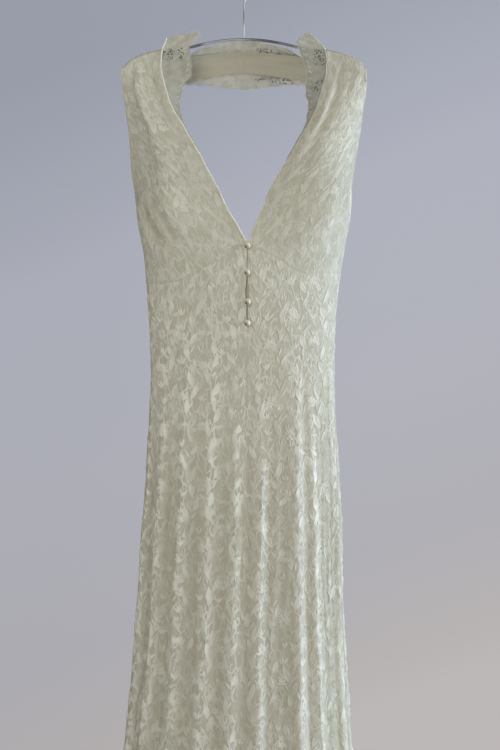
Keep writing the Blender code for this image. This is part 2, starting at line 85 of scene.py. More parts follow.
Bend = namedtuple("Bend", "across drop")
ROD = [
    Bend(0, 0),
    Bend(30, 1.8),
    Bend(60, 6.8),
    Bend(90, 14),
    Bend(105, 16.5),
    Bend(120, 18.5),
    Bend(135, 21),
    Bend(150, 25),
    Bend(165, 30.5),
    Bend(176, 37),
    Bend(182, 43),
]
TIP_SLOPE = 0.95
HookPoint = namedtuple("HookPoint", "across up")
HOOK_STEM = [
    HookPoint(0, -80),
    HookPoint(0, -58),
    HookPoint(1.5, -50),
    HookPoint(6, -42),
    HookPoint(12.5, -33),
]
HOOK_END_ANGLE = 195
HOOK_START_ANGLE = -18

# The gown's outline in millimetres, as in the solids
Section = namedtuple("Section", "drop left right centre front back inner set fall")
SECTIONS = [
    Section(-15, 187, 187, 0, 7, 60, 120, -5, 0),
    Section(22, 188, 188, 0, 7, 60, 127, -5, 0),
    Section(50, 190, 190, 0, 12, 60, 127, -2, 4),
    Section(80, 188, 190, 0, 20, 60, 120, 5, 8),
    Section(110, 184, 185, 1, 29, 60, 110, 12, 13),
    Section(140, 180, 182, 2, 38, 60, 93, 17, 17),
    Section(170, 178, 177, 2, 47, 60, 76, 20, 18),
    Section(200, 176, 172, 1, 55, 60, 59, 20, 17),
    Section(232, 171, 168, 0, 62, 60, 41, 17, 14),
    Section(264, 167, 165, 1, 67, 60, 27, 13, 10),
    Section(292, 162, 161, 3, 70, 59, 13, 8, 5),
    Section(319, 157, 156, 5, 70, 58, 0, 4, 2),
    Section(340, 154, 153, 5, 69, 57, -12, 2, 0),
    Section(364, 152, 149, 5, 67, 55, -20, 0, 0),
    Section(388, 150, 146, 5, 64, 54, 0, 0, 0),
    Section(419, 148, 143, 5, 61, 53, 0, 0, 0),
    Section(450, 146, 141, 5, 59, 54, 0, 0, 0),
    Section(512, 144, 140, 4, 59, 58, 0, 0, 0),
    Section(574, 146, 141, 3, 63, 68, 0, 0, 0),
    Section(636, 150, 144, 1, 69, 82, 0, 0, 0),
    Section(698, 153, 146, 0, 75, 95, 0, 0, 0),
    Section(760, 158, 149, -2, 79, 104, 0, 0, 0),
    Section(822, 161, 150, -4, 82, 108, 0, 0, 0),
    Section(884, 164, 152, -5, 85, 110, 0, 0, 0),
    Section(946, 168, 155, -6, 89, 114, 0, 0, 0),
    Section(1008, 174, 158, -8, 94, 120, 0, 0, 0),
    Section(1100, 184, 164, -10, 104, 130, 0, 0, 0),
    Section(1250, 204, 186, -10, 124, 152, 0, 0, 0),
    Section(1400, 232, 216, -8, 150, 184, 0, 0, 0),
    Section(1500, 256, 242, -6, 170, 210, 0, 0, 0),
]

Fold = namedtuple("Fold", "angle breadth height start")
FOLDS = [
    Fold(-77, 5.6, 6, 560),
    Fold(-57, 5.8, 8, 500),
    Fold(-38, 5.6, 8, 460),
    Fold(-20, 5.4, 8, 480),
    Fold(-4, 5.2, 8, 520),
    Fold(10, 4.8, 6, 560),
    Fold(34, 5.6, 9, 480),
    Fold(47, 4.6, 7, 560),
    Fold(72, 6.4, 8, 460),
    Fold(94, 5.6, 6, 560),
    Fold(112, 5.8, 8, 540),
    Fold(131, 5.2, 7, 620),
    Fold(152, 6.0, 9, 500),
    Fold(171, 5.2, 7, 580),
    Fold(189, 5.6, 8, 540),
    Fold(208, 6.0, 9, 500),
    Fold(228, 5.2, 7, 620),
    Fold(246, 5.8, 8, 540),
    Fold(264, 5.4, 6, 580),
]
FOLD_FULL_DROP = 1050
HEM_FOLD_GAIN = 0.9

# The straps' creases, the cups and the crests along the folds. They are bolder than the solids'
Crease = namedtuple("Crease", "side top_share top_drop low_share low_drop breadth height")
CREASES = [
    Crease(-1, 0.62, 60, 0.42, 250, 0.11, 5.0),
    Crease(-1, 0.22, 50, 0.16, 150, 0.09, -3.0),
    Crease(-1, 0.72, 262, 0.58, 318, 0.06, -4.0),
    Crease(-1, 0.60, 255, 0.46, 310, 0.06, -3.0),
    Crease(1, 0.82, 50, 0.72, 250, 0.20, 6.0),
    Crease(1, 0.36, 45, 0.26, 190, 0.10, -4.0),
    Crease(1, 0.22, 60, 0.14, 150, 0.07, 2.0),
    Crease(1, 0.66, 250, 0.60, 320, 0.05, -3.0),
]
CREASE_GAIN = {-1: 1.9, 1: 1.0}
PINCH_HEIGHT = 2.6
PINCH_BREADTH = 1.7
CREST_BREADTH = 3.5
CUP_SHARE = 0.55
CUP_SHARE_REACH = 0.30
CUP_DROP = 268 * MM
CUP_DROP_REACH = 62 * MM
CUP_HEIGHT = 18 * MM

# Seams, edges and the buttoned opening, as in the solids
Edge = namedtuple("Edge", "angle drop")
CUP_SEAM = {
    -1: [
        Edge(0, 322),
        Edge(12, 336),
        Edge(24, 356),
        Edge(34, 372),
        Edge(45, 378),
        Edge(62, 380),
        Edge(90, 379),
    ],
    1: [
        Edge(0, 322),
        Edge(10, 334),
        Edge(20, 346),
        Edge(28, 359),
        Edge(38, 366),
        Edge(62, 364),
        Edge(90, 363),
    ],
}
BACK_EDGE = [Edge(90, 322), Edge(108, 341), Edge(130, 383), Edge(155, 420), Edge(180, 430)]
Opening = namedtuple("Opening", "drop width")
SLIT = [
    Opening(322, 0.3),
    Opening(343, 0.9),
    Opening(364, 0.3),
    Opening(386, 4.4),
    Opening(409, 0.5),
    Opening(425, 3.4),
    Opening(441, 0.3),
    Opening(480, 0.3),
    Opening(1500, 0.3),
]
# Down to where it is buttoned, and the gap where two pieces are sewn together
BUTTONED_DROP = 446 * MM
SEWN_GAP = 0.05 * MM
SLIT_FADE_TURN = 6
NECK_BOTTOM_DROP = 317 * MM

# Down to where the fronts bow out between their edges, and where a row of the grid is level
BOW_DROP = 150 * MM
BOW_LENGTH = 175 * MM
LEVEL_DROP = 550 * MM

# Where the strap goes over the rod
WRAP_REACH = 5.8 * MM
WRAP_REST = ROD_RADIUS + GAP + CLOTH_WALL
WRAP_LENGTH = 18 * MM
WRAP_END_INNER = 26 * MM
WRAP_END_OUTER = 64 * MM
WRAP_APPROACH = 45 * MM

BAND_BACK = 42 * MM
BAND_TOP_DROP = 12 * MM
BAND_LOW_DROP = 47 * MM

# The sheer edgings. The left one's top and the band's upper one are wider than the solids'
NeckLace = namedtuple("NeckLace", "drop width turn rise lean")
NECK_LACE = {
    -1: [
        NeckLace(-1, 53, 0, 12, 4),
        NeckLace(4, 50, 0, 8, 3),
        NeckLace(12, 42, 0, 3, 1),
        NeckLace(26, 44, 0, 0, 0),
        NeckLace(42, 46, 2, 0, 0),
        NeckLace(58, 43, 6, 0, 0),
        NeckLace(66, 34, 10, 0, 0),
        NeckLace(80, 26, 24, 0, 0),
        NeckLace(108, 15, 42, 0, 0),
        NeckLace(136, 4, 48, 0, 0),
        NeckLace(165, 3, 50, 0, 0),
        NeckLace(190, 1.5, 50, 0, 0),
    ],
    1: [
        NeckLace(-7, 11, 0, -3, 18),
        NeckLace(2, 32, 0, 2, 11),
        NeckLace(12, 40, 0, 5, 3),
        NeckLace(24, 38, 0, 1, 1),
        NeckLace(42, 32, 2, 0, 0),
        NeckLace(62, 28, 10, 0, 0),
        NeckLace(80, 26, 24, 0, 0),
        NeckLace(108, 17, 42, 0, 0),
        NeckLace(136, 5, 48, 0, 0),
        NeckLace(165, 3, 50, 0, 0),
        NeckLace(190, 1.5, 50, 0, 0),
    ],
}
NECK_LACE_SETBACK = 1.2 * MM
NECK_LACE_GAP = 0.9 * MM
SCALLOP_PITCH = 16 * MM
SCALLOP_DEPTH = 1.6 * MM
RUFFLE_HEIGHT = 1.6 * MM
RUFFLE_PITCH = 37 * MM
BandLace = namedtuple("BandLace", "across width")
BAND_LACE_LOW = [
    BandLace(0, 27),
    BandLace(30, 21),
    BandLace(60, 14),
    BandLace(88, 9),
    BandLace(112, 6),
    BandLace(138, 2),
]
BAND_LACE_TOP = [BandLace(0, 18.5), BandLace(30, 19), BandLace(60, 20), BandLace(88, 21.5)]
BAND_LACE_REACH = 0.62
BAND_LACE_TUCK = 1.0 * MM
SEWN_TURN = 0.2
EDGING_COLUMNS = 15
NECK_LACE_ROWS = 150
BAND_LACE_ROWS = 180
PICOT_PITCH = 3.2 * MM
PICOT_RADIUS = 0.2 * MM
SMALL_LEAF_LENGTH = 8 * MM
SMALL_LEAF_WIDTH = 3.0 * MM
SMALL_LEAF_IN = 2.2 * MM
LEAFY_WIDTH = 8 * MM

# Where the edgings' eyelets show painted shadow as dark dots: across from the sewn edge, and along the
# edging from its start
ShadowDotStretch = namedtuple("ShadowDotStretch", "across_low across_high down_low down_high")
NECK_PAINTED_SHADOW = {
    -1: [ShadowDotStretch(-5 * MM, 38 * MM, 15 * MM, 38 * MM)],
    1: [ShadowDotStretch(-5 * MM, 22 * MM, 30 * MM, 60 * MM), ShadowDotStretch(-1 * MM, 20 * MM, 76 * MM, 102 * MM)],
}
BAND_PAINTED_SHADOW = {
    True: [ShadowDotStretch(-5 * MM, 16 * MM, 150 * MM, 215 * MM)],
    False: [ShadowDotStretch(-5 * MM, 13 * MM, 108 * MM, 190 * MM)],
}
# How far down each neck edging's top is opaque, and how dark the rest is
NECK_OPAQUE = {-1: 14 * MM, 1: 26 * MM}
NECK_TONE = {-1: 0.76, 1: 0.68}
# The share of what is behind each net that it hides between its threads
NECK_COVER = 0.74
BAND_COVER = {True: 0.5, False: 0.62}

# The lace's repeat: upright wavy vines, each with outlined leaves and small solid leaflets on both
# sides and a flower at every bend, and fans of leaflets between the vines
VINE_PITCH = 34 * MM
VINE_PERIOD = 92 * MM
VINE_SWAY = 5 * MM
LEAF_STEP = 21 * MM
LEAF_LENGTH = 24 * MM
LEAF_WIDTH = 9.0 * MM
LEAF_SPLAY = 17
LEAFLET_STEP = 10.5 * MM
LEAFLET_LENGTH = 13 * MM
LEAFLET_WIDTH = 3.6 * MM
LEAFLET_SPLAY = 26
PETAL_SPREAD = (-75, -38, 0, 38, 75)
PETAL_LENGTH = 9 * MM
PETAL_WIDTH = 5 * MM
FAN_STEP = 25 * MM
FAN_LENGTH = 13 * MM
FAN_WIDTH = 3.2 * MM
FAN_SPREAD = (-34, -16, 0, 16, 34)
STEM_WIDTH = 1.5 * MM
LACE_HEIGHT = 0.8 * MM
BODICE_LACE_HEIGHT = 0.35 * MM
LACE_LIFT = 0.15 * MM
LACE_BURY = 0.25 * MM

# The folded edge beside each neck edging, the strip behind the buttons, and the threads
FOLD_RADIUS = {-1: 1.1 * MM, 1: 0.6 * MM}
FOLD_IN = -0.2 * MM
# How much painted light each side's folded edge gets, as a share up a fold: the left one is painted pale
# as a painted highlight
FOLD_PAINTED_LIGHT = {-1: 1.3, 1: 0.5}
UNDERLAP_WIDTH = 14 * MM
UNDERLAP_TOP_DROP = 326 * MM
UNDERLAP_LOW_DROP = 470 * MM
UNDERLAP_WALL = 0.8 * MM
LOOP_RADIUS = 0.45 * MM
STRAY_RADIUS = 0.18 * MM
FUZZ_COUNT = 34
FUZZ_LENGTH = 2.2 * MM
Stray = namedtuple("Stray", "x drop to_x to_drop bow")
STRAYS = [
    Stray(69, -10.5, 82, 4, 2.0),
    Stray(-185, 47, -193, 44, 1.5),
    Stray(-186, 50, -194, 51, -1.0),
    Stray(-187, 55, -193, 60, 1.5),
    Stray(-187, 58, -194, 66, 1.0),
    Stray(189, 70, 192, 76, 1.0),
    Stray(-66, 13, -60, 8, 1.5),
]

# How many of the net's cells, and of its eyelets' painted shadow dots, there are to a metre
NET_CELLS = 560
SHADOW_DOT_CELLS = 340

# Where the back's net starts, so that it isn't the front's again
BACK_START = 1.5

# How finely the cloth is divided
PANEL_STEP = 7 * MM
PANEL_COLUMNS = 66
EDGE_LINES = (0.0, 0.004, 0.009, 0.015, 0.024, 0.036)
EDGE_ROWS = (0, 1, 2.4, 4)
HEM_ROWS = (5, 2.4, 1, 0)

# What the random draws start from
BODICE_SEED = 11
FRONT_SEED = 21
BACK_SEED = 31
NECK_LACE_SEED = 41
BAND_LACE_SEED = 51
FUZZ_SEED = 61

# Colours, as linear light. A pair is the dull one and the pale one
LINING = ((0.58, 0.565, 0.47), (0.65, 0.635, 0.54))
NET_THREAD = (0.74, 0.73, 0.63)
# Painted shade: the net's colour in the fold hollows
HOLLOW_PAINTED_SHADE = (0.535, 0.51, 0.415)
CORD = (0.87, 0.87, 0.79)
# For the lace motifs, dull is painted shade in the fold hollows and pale is painted highlight up the
# folds, with a random tone between
LEAF_SHADE_TO_LIGHT = ((0.56, 0.54, 0.445), (0.95, 0.95, 0.88))
SOFT_LEAF_SHADE_TO_LIGHT = ((0.56, 0.55, 0.46), (0.80, 0.80, 0.725))
EDGE_LEAF = ((0.50, 0.49, 0.42), (0.68, 0.67, 0.59))
SHEER = ((0.62, 0.615, 0.53), (0.76, 0.755, 0.68))
# Painted shadow seen in the edgings' eyelets
EYELET_PAINTED_SHADOW = (0.07, 0.065, 0.055)
NACRE = ((0.84, 0.78, 0.66), (0.92, 0.89, 0.82))
# Painted reflections on each pearl's lower left front: a golden cast and a dark spot
NACRE_PAINTED_GOLD_REFLECTION = (0.52, 0.40, 0.24)
NACRE_PAINTED_DARK_REFLECTION = (0.10, 0.075, 0.05)
STEEL = ((0.17, 0.172, 0.18), (0.28, 0.285, 0.30))
# Paler steel in large patches at random
STEEL_PALE_PATCH = (0.60, 0.61, 0.64)
THREAD = ((0.66, 0.63, 0.53), (0.84, 0.82, 0.73))
FLOOR = ((0.74, 0.73, 0.72), (0.80, 0.79, 0.78))

# The view and the light
CAMERA_PLACE = (9.3 * MM, -3.0, -630 * MM)
CAMERA_HALF_VIEW = 581 * MM
FLOOR_CLEARANCE = 200 * MM
FLOOR_RADIUS = 1.9
Sky = namedtuple("Sky", "height colour")
BACKDROP = [
    Sky(-0.19, (187, 183, 182)),
    Sky(-0.165, (182, 178, 178)),
    Sky(-0.11, (176, 175, 181)),
    Sky(-0.02, (177, 178, 187)),
    Sky(0.085, (175, 177, 189)),
    Sky(0.135, (166, 170, 182)),
    Sky(0.19, (157, 161, 174)),
]
BACKDROP_REACH = 0.19
BACKDROP_SLANT = (-0.35, 0, 1)
AMBIENT = (0.192, 0.18624, 0.16896)
# How bright each is from the left to the right: from and to across, from and to in brightness
BACKDROP_ACROSS = (-0.13, 0.09, 0.94, 1.01)
AMBIENT_ACROSS = (-1.0, 1.0, 0.52, 1.3)
Lamp = namedtuple("Lamp", "name place size power colour")
LAMP_TARGET = (0, 0, -0.65)
LAMPS = [
    Lamp("key", (1.95, -0.62, -0.35), (1.2, 1.6), 16.5, (0.93, 0.96, 0.97)),
    Lamp("rim", (2.1, 0.1, -0.85), (0.8, 1.6), 20.0, (0.66, 0.84, 1.0)),
    Lamp("back", (0.7, 2.4, 0.3), (1.4, 1.4), 22.0, (1.0, 0.98, 0.95)),
    Lamp("fill", (-0.8, -1.75, 0.05), (1.2, 1.2), 15.2, (1.0, 0.985, 0.90)),
]


def smooth(x):
    """0 below 0, 1 above 1, and an even rise between."""
    x = np.clip(x, 0.0, 1.0)
    return x * x * (3 - 2 * x)


def bell(x):
    return np.exp(-x * x)


def along(table, key, column):
    """A table's column at every key, on a smooth curve through its rows. The first column is the key."""
    keys = np.array([row[0] for row in table], float)
    values = np.array([getattr(row, column) for row in table], float)
    slopes = np.gradient(values)
    slopes[1:-1] = (values[2:] - values[:-2]) / (keys[2:] - keys[:-2])
    slopes[0] = (values[1] - values[0]) / (keys[1] - keys[0])
    slopes[-1] = (values[-1] - values[-2]) / (keys[-1] - keys[-2])
    key = np.clip(key, keys[0], keys[-1])
    i = np.clip(np.searchsorted(keys, key, side="right") - 1, 0, len(keys) - 2)
    span = keys[i + 1] - keys[i]
    t = (key - keys[i]) / span
    rise = values[i + 1] - values[i]
    start, end = slopes[i] * span, slopes[i + 1] * span
    return values[i] + t * start + t * t * (3 * rise - 2 * start - end) + t**3 * (start + end - 2 * rise)


def stack(x, y, z):
    return np.stack(np.broadcast_arrays(x, y, z), axis=-1).astype(float)


def unit(vectors):
    return vectors / np.maximum(np.linalg.norm(vectors, axis=-1, keepdims=True), 1e-12)


def rod_drop(x):
    beyond = np.maximum(np.abs(x) - ROD[-1].across * MM, 0)
    return along(ROD, np.abs(x) / MM, "drop") * MM + beyond * TIP_SLOPE


def fold_height(angle, mm_drop):
    """The skirt's upright folds, as in the solids."""
    gain = 1 + HEM_FOLD_GAIN * smooth((mm_drop - FOLD_FULL_DROP) / (HEM_DROP / MM - FOLD_FULL_DROP))
    total = 0.0
    for fold in FOLDS:
        away = (angle - fold.angle + 180) % 360 - 180
        growth = smooth((mm_drop - fold.start) / (FOLD_FULL_DROP - fold.start)) ** 0.8
        shape = bell(away / fold.breadth) - 0.5 * bell(away / fold.breadth / 2)
        total = total + fold.height * growth * gain * shape
    return total


def pinch_height(angle, mm_drop):
    """A narrow crest along each fold, wavering a little, that catches the light."""
    total = 0.0
    for number, fold in enumerate(FOLDS):
        waver = 0.9 * np.sin(mm_drop / 47 + 2.4 * number) + 0.5 * np.sin(mm_drop / 19 + number)
        away = (angle - fold.angle - waver + 180) % 360 - 180
        growth = smooth((mm_drop - fold.start + 60) / 260)
        uneven = 0.75 + 0.25 * np.sin(mm_drop / 61 + 1.7 * number)
        total = total + PINCH_HEIGHT * growth * uneven * bell(away / PINCH_BREADTH)
    return total


def painted_light_share(side, turn, drop):
    """How much painted light a place gets: 0 in a fold's hollow, for painted shade, and 1 on a crest, for
    painted highlight. More is painted above the waist and on the left side, and it follows the creases.
    """
    mm = drop / MM
    folds = 0.0
    for number, fold in enumerate(FOLDS):
        away = (side * turn - fold.angle - 1.0 + 180) % 360 - 180
        growth = smooth((mm - fold.start + 100) / 260)
        folds = folds + growth * bell(away / CREST_BREADTH)
    before = np.where(turn < 90, crease_height(side, np.minimum(turn / 90, 1), mm), 0)
    flat = 0.5 * (1 - smooth((mm - 430) / 300)) + 0.15 * smooth(-side * np.minimum(turn, 180 - turn) / 15)
    return np.clip(flat + folds + 0.08 * before, 0, 1)


def crease_height(side, share, mm_drop):
    total = 0.0
    for crease in CREASES:
        if crease.side != side:
            continue
        t = (mm_drop - crease.top_drop) / (crease.low_drop - crease.top_drop)
        middle = crease.top_share + (crease.low_share - crease.top_share) * np.clip(t, 0, 1)
        fade = smooth((t + 0.25) / 0.35) * smooth((1.25 - t) / 0.35)
        total = total + CREASE_GAIN[side] * crease.height * fade * bell((share - middle) / crease.breadth)
    return total * smooth((1 - share) / 0.1)


def crest(x):
    """A wave from -1 to 1 with narrow crests and wide hollows."""
    return 2.3 * np.exp(1.2 * (np.sin(x) - 1)) - 1.1


def ripple_height(angle, mm_drop):
    """Small upright ripples between the folds, in millimetres, and a slight crumple all over."""
    a = np.radians(angle)
    grown = smooth((mm_drop - 420) / 420)
    sway = 1.1 * np.sin(mm_drop / 83 + 3 * np.cos(a)) + 0.6 * np.sin(mm_drop / 37 + 2 * np.sin(2 * a))
    swell = 0.55 + 0.45 * np.sin(5 * a + mm_drop / 140)
    upright = 0.9 * crest(43 * a + sway) * swell + 0.6 * crest(71 * a - 1.3 * sway) * (1.1 - swell)
    crumple = np.sin(mm_drop / 8.5 + 11 * a + sway) * np.sin(mm_drop / 21 - 7 * a)
    return upright * grown + 0.22 * crumple * (1 - 0.4 * grown)


def gown(side, turn, drop):
    """The gown's outer face."""
    mm = drop / MM
    row = {name: along(SECTIONS, mm, name) * MM for name in Section._fields[1:]}
    sine, cosine = np.sin(np.radians(turn)), np.cos(np.radians(turn))
    share = np.minimum(turn / 90, 1.0)
    before = cosine >= 0
    bowed = share + (sine - share) * smooth((drop - BOW_DROP) / BOW_LENGTH)
    across = np.where(before, bowed, sine)
    inner = np.maximum(row["inner"], 0.0)
    half = row["right"] - row["centre"] - inner if side > 0 else row["left"] + row["centre"] - inner
    deep = np.where(before, row["front"] + row["set"], row["back"] - row["set"])
    y = row["set"] - deep * cosine + np.where(before, row["fall"] * (1 - sine) ** 2, 0)
    cup = CUP_HEIGHT * bell((share - CUP_SHARE) / CUP_SHARE_REACH)
    cup = cup * bell((drop - CUP_DROP) / CUP_DROP_REACH) * smooth((1 - share) / 0.1)
    relief = np.where(before, cup + crease_height(side, share, mm) * MM, 0)
    angle = side * turn
    relief = relief + (fold_height(angle, mm) + pinch_height(angle, mm) + ripple_height(angle, mm)) * MM
    out = unit(stack(side * sine * deep, -cosine * half, 0))
    foot = stack(row["centre"] + side * (inner + half * across), y, CROWN_Z - drop)
    return foot + out * relief[..., None]


def cup_seam(side, turn):
    return along(CUP_SEAM[side], turn, "drop") * MM


def back_edge(side, turn):
    return along(BACK_EDGE, turn, "drop") * MM


def hem(side, turn):
    return np.full(np.shape(turn), HEM_DROP)


def wrap_top(side, turn):
    """The drop at which a strap's point is level with the rod under it."""
    drop = np.full(np.shape(turn), 30 * MM)
    for _ in range(3):
        drop = rod_drop(gown(side, turn, drop)[..., 0])
    return drop


def wrap_end(side, turn):
    """The end of the strap's turned-over top, as a drop that goes on counting over the rod."""
    share = turn / 90
    top = wrap_top(side, turn)
    down = WRAP_END_INNER + (WRAP_END_OUTER - WRAP_END_INNER) * share**1.4 - top
    return top - WRAP_LENGTH - np.maximum(down, 4 * MM)


def halter(side, turn, drop):
    """A halter front. Drops smaller than the wrap's top go over the rod and down behind it."""
    share = np.clip(turn / 90, 0.001, 1)
    turn = 90 * share
    top = wrap_top(side, turn)
    front = gown(side, turn, np.maximum(drop, top))
    near = smooth(1 - (np.maximum(drop, top) - top) / WRAP_APPROACH)
    over = np.clip((top - drop) / WRAP_LENGTH, 0, 1)
    below = np.maximum(top - drop - WRAP_LENGTH, 0)
    x = front[..., 0]
    slope = (rod_drop(np.abs(x) + MM) - rod_drop(np.abs(x) - MM)) / (2 * MM)
    loft = WRAP_REST * np.hypot(1, slope)
    lying = front[..., 1] * (1 - near) - WRAP_REACH * near
    y = np.where(over > 0, -WRAP_REACH * np.cos(np.pi * over), lying)
    z = CROWN_Z - np.maximum(drop, top) + loft * np.sin(np.pi * over) - below
    return stack(x, y, z)


def band_edge(side, share):
    """Where the band starts, behind the strap's turned-over top."""
    turn = 90 * np.clip(share, 0.001, 1)
    return halter(side, turn, wrap_end(side, turn)) + np.array([-side * GAP, GAP, -GAP])


def band_point(side, share, reach):
    """The band behind the neck: reach is 0 where it leaves the strap and 1 at the centre back."""
    share, reach = np.broadcast_arrays(np.asarray(share, float), np.asarray(reach, float))
    start = band_edge(side, share)
    end = stack(0, BAND_BACK, CROWN_Z - BAND_TOP_DROP - (BAND_LOW_DROP - BAND_TOP_DROP) * share)
    leave = stack(-side * 60, 45, -10 - 50 * share) * MM
    arrive = stack(-side * (120 + 50 * share), 0, 0) * MM
    t = reach[..., None]
    return (
        start * (2 * t**3 - 3 * t**2 + 1)
        + leave * (t**3 - 2 * t**2 + t)
        + end * (3 * t**2 - 2 * t**3)
        + arrive * (t**3 - t**2)
    )


def scallop(distance):
    """The lace's free edge: 1 at the middle of a scallop and 0 where two meet."""
    return np.abs(np.sin(np.pi * distance / SCALLOP_PITCH))


def sewn_line(side, drop):
    """Where the neck's edging is sewn to the strap, across and front to back."""
    turn = np.full(drop.shape, SEWN_TURN)
    level = wrap_top(side, np.zeros(1))[0]
    near = smooth(1 - (drop - level) / WRAP_APPROACH)
    y = gown(side, turn, np.maximum(drop, level))[..., 1] * (1 - near)
    return gown(side, turn, drop)[..., 0], y - (WRAP_REACH + NECK_LACE_SETBACK) * near


def neck_lace_point(side, drop, share):
    """Lace along the neck opening: share is 0 at the strap's edge and 1 at the free edge."""
    drop, share = np.broadcast_arrays(np.asarray(drop, float), np.asarray(share, float))
    width, turn, rise, lean = (along(NECK_LACE[side], drop / MM, name) for name in NeckLace._fields[1:])
    x, y = sewn_line(side, drop)
    x = x - side * lean * MM
    turned = np.radians(turn)
    away = stack(-side * np.cos(turned), np.sin(turned), 0)
    across = stack(-away[..., 1], away[..., 0], 0) * side
    wide = width * MM - SCALLOP_DEPTH * (1 - scallop(drop)) * np.minimum(1, width / 10)
    wave = RUFFLE_HEIGHT * share * np.sin(2 * np.pi * drop / RUFFLE_PITCH) * np.minimum(1, width / 20)
    wave = wave * smooth((drop + 12 * MM) / (30 * MM))
    out = (NECK_LACE_GAP + wide * share)[..., None]
    near_top = smooth((14 * MM - drop) / (14 * MM))
    corner = 4.5 * MM * smooth((share - 0.82) / 0.18) * near_top
    lift = rise * MM * share - corner + 0.6 * MM * np.sin(9 * share) * near_top
    return stack(x, y, CROWN_Z - drop) + away * out + across * wave[..., None] + stack(0, 0, lift)


def band_lace_point(low, place, share):
    """Lace along the band's lower or upper edge: place runs from -1 to 1 across the centre back."""
    place, share = np.broadcast_arrays(np.asarray(place, float), np.asarray(share, float))
    edge, within = (1.0, 0.8) if low else (0.0, 0.2)
    reach = 1 - np.abs(place) * BAND_LACE_REACH
    left = (place < 0)[..., None]
    base = np.where(left, band_point(-1, edge, reach), band_point(1, edge, reach))
    inside = np.where(left, band_point(-1, within, reach), band_point(1, within, reach))
    onward = unit(base - inside)
    x = base[..., 0]
    width = along(BAND_LACE_LOW if low else BAND_LACE_TOP, np.abs(x) / MM, "width") * MM
    wide = width - SCALLOP_DEPTH * (1 - scallop(x + SCALLOP_PITCH / 2))
    wave = RUFFLE_HEIGHT * share * np.sin(2 * np.pi * x / RUFFLE_PITCH)
    behind = stack(0, 2.2 * MM * smooth(1 - wide * share / (6 * MM)), 0)
    return base + onward * (wide * share - BAND_LACE_TUCK)[..., None] + stack(0, wave, 0) + behind


def srgb(levels):
    """A light colour given as it looks on a screen, up to 255, as linear light."""
    return tuple(((level / 255 + 0.055) / 1.055) ** 2.4 for level in levels)


def opaque(colour):
    """A colour with the alpha that a node's input needs. A socket stays as it is."""
    return colour if isinstance(colour, bpy.types.NodeSocket) else (*colour, 1)


class Nodes:
    """The nodes of a material or of the world, made one call at a time."""

    def __init__(self, owner):
        owner.use_nodes = True
        self.owner = owner
        self.tree = owner.node_tree

    def node(self, kind, inputs=(), **settings):
        made = self.tree.nodes.new(kind)
        for name, value in settings.items():
            setattr(made, name, value)
        for name, value in dict(inputs).items():
            if isinstance(value, bpy.types.NodeSocket):
                self.tree.links.new(value, made.inputs[name])
            else:
                made.inputs[name].default_value = value
        return made

    def place(self, by="UV"):
        return self.node("ShaderNodeTexCoord").outputs[by]

    def math(self, operation, a, b=0.0, c=0.0):
        return self.node("ShaderNodeMath", {0: a, 1: b, 2: c}, operation=operation).outputs[0]

    def noise(self, vector, scale, detail=3.0):
        inputs = {"Vector": vector, "Scale": scale, "Detail": detail}
        return self.node("ShaderNodeTexNoise", inputs).outputs["Fac"]

    def cells(self, vector, scale, feature="DISTANCE_TO_EDGE"):
        inputs = {"Vector": vector, "Scale": scale}
        made = self.node("ShaderNodeTexVoronoi", inputs, feature=feature, voronoi_dimensions="2D")
        return made.outputs["Distance"]

    def ramp(self, value, low, high, to_low=0.0, to_high=1.0, kind="SMOOTHSTEP"):
        """to_low where value is low or less, to_high where it is high or more."""
        inputs = {"Value": value, "From Min": low, "From Max": high, "To Min": to_low, "To Max": to_high}
        return self.node("ShaderNodeMapRange", inputs, interpolation_type=kind).outputs[0]

    def vector(self, operation, *values):
        made = self.node("ShaderNodeVectorMath", dict(enumerate(values)), operation=operation)
        return made.outputs["Value" if operation == "DOT_PRODUCT" else "Vector"]

    def scaled(self, colour, factor):
        inputs = {0: colour, "Scale": factor}
        return self.node("ShaderNodeVectorMath", inputs, operation="SCALE").outputs[0]

    def mix(self, factor, a, b):
        """One colour where factor is 0, the other where it is 1."""
        inputs = {0: factor, 6: opaque(a), 7: opaque(b)}
        return self.node("ShaderNodeMix", inputs, data_type="RGBA").outputs[2]


class Shader(Nodes):
    """A material's nodes."""

    def __init__(self, name):
        self.material = bpy.data.materials.new(name)
        super().__init__(self.material)
        self.surface = self.tree.nodes["Principled BSDF"]

    def set(self, **values):
        for name, value in values.items():
            self.surface.inputs[name.replace("_", " ")].default_value = value

    def link(self, socket, name):
        self.tree.links.new(socket, self.surface.inputs[name])

    def crest(self):
        """The painted-light share that each place's mesh carries, from how far up a fold it is: 0 where
        the mesh carries none.
        """
        return self.node("ShaderNodeAttribute", attribute_name="crest").outputs["Fac"]

    def bump(self, height, strength, distance):
        inputs = {"Height": height, "Strength": strength, "Distance": distance}
        self.link(self.node("ShaderNodeBump", inputs).outputs[0], "Normal")


def corded(s, uv):
    """Fine cords round tall leaf-shaped cells, and small upright sprigs: two masks."""
    inputs = {"Vector": uv, "Scale": 60.0, "Detail": 2.0}
    wobble = s.node("ShaderNodeTexNoise", inputs).outputs["Color"]
    tall = s.vector("MULTIPLY", uv, (92.0, 36.0, 1.0))
    bent = s.vector("MULTIPLY_ADD", wobble, (0.9, 0.9, 0.0), tall)
    cord = s.ramp(s.cells(bent, 1.0), 0.13, 0.05)
    small = s.vector("MULTIPLY", bent, (2.4, 2.0, 1.0))
    sprig = s.ramp(s.cells(small, 1.0, "F1"), 0.42, 0.24)
    patch = s.ramp(s.noise(uv, 48.0, 1.0), 0.42, 0.56)
    grouped = s.math("MULTIPLY_ADD", s.ramp(s.noise(uv, 30.0, 1.0), 0.42, 0.56), 0.7, 0.3)
    return s.math("MULTIPLY", cord, grouped), s.math("MULTIPLY", sprig, patch)


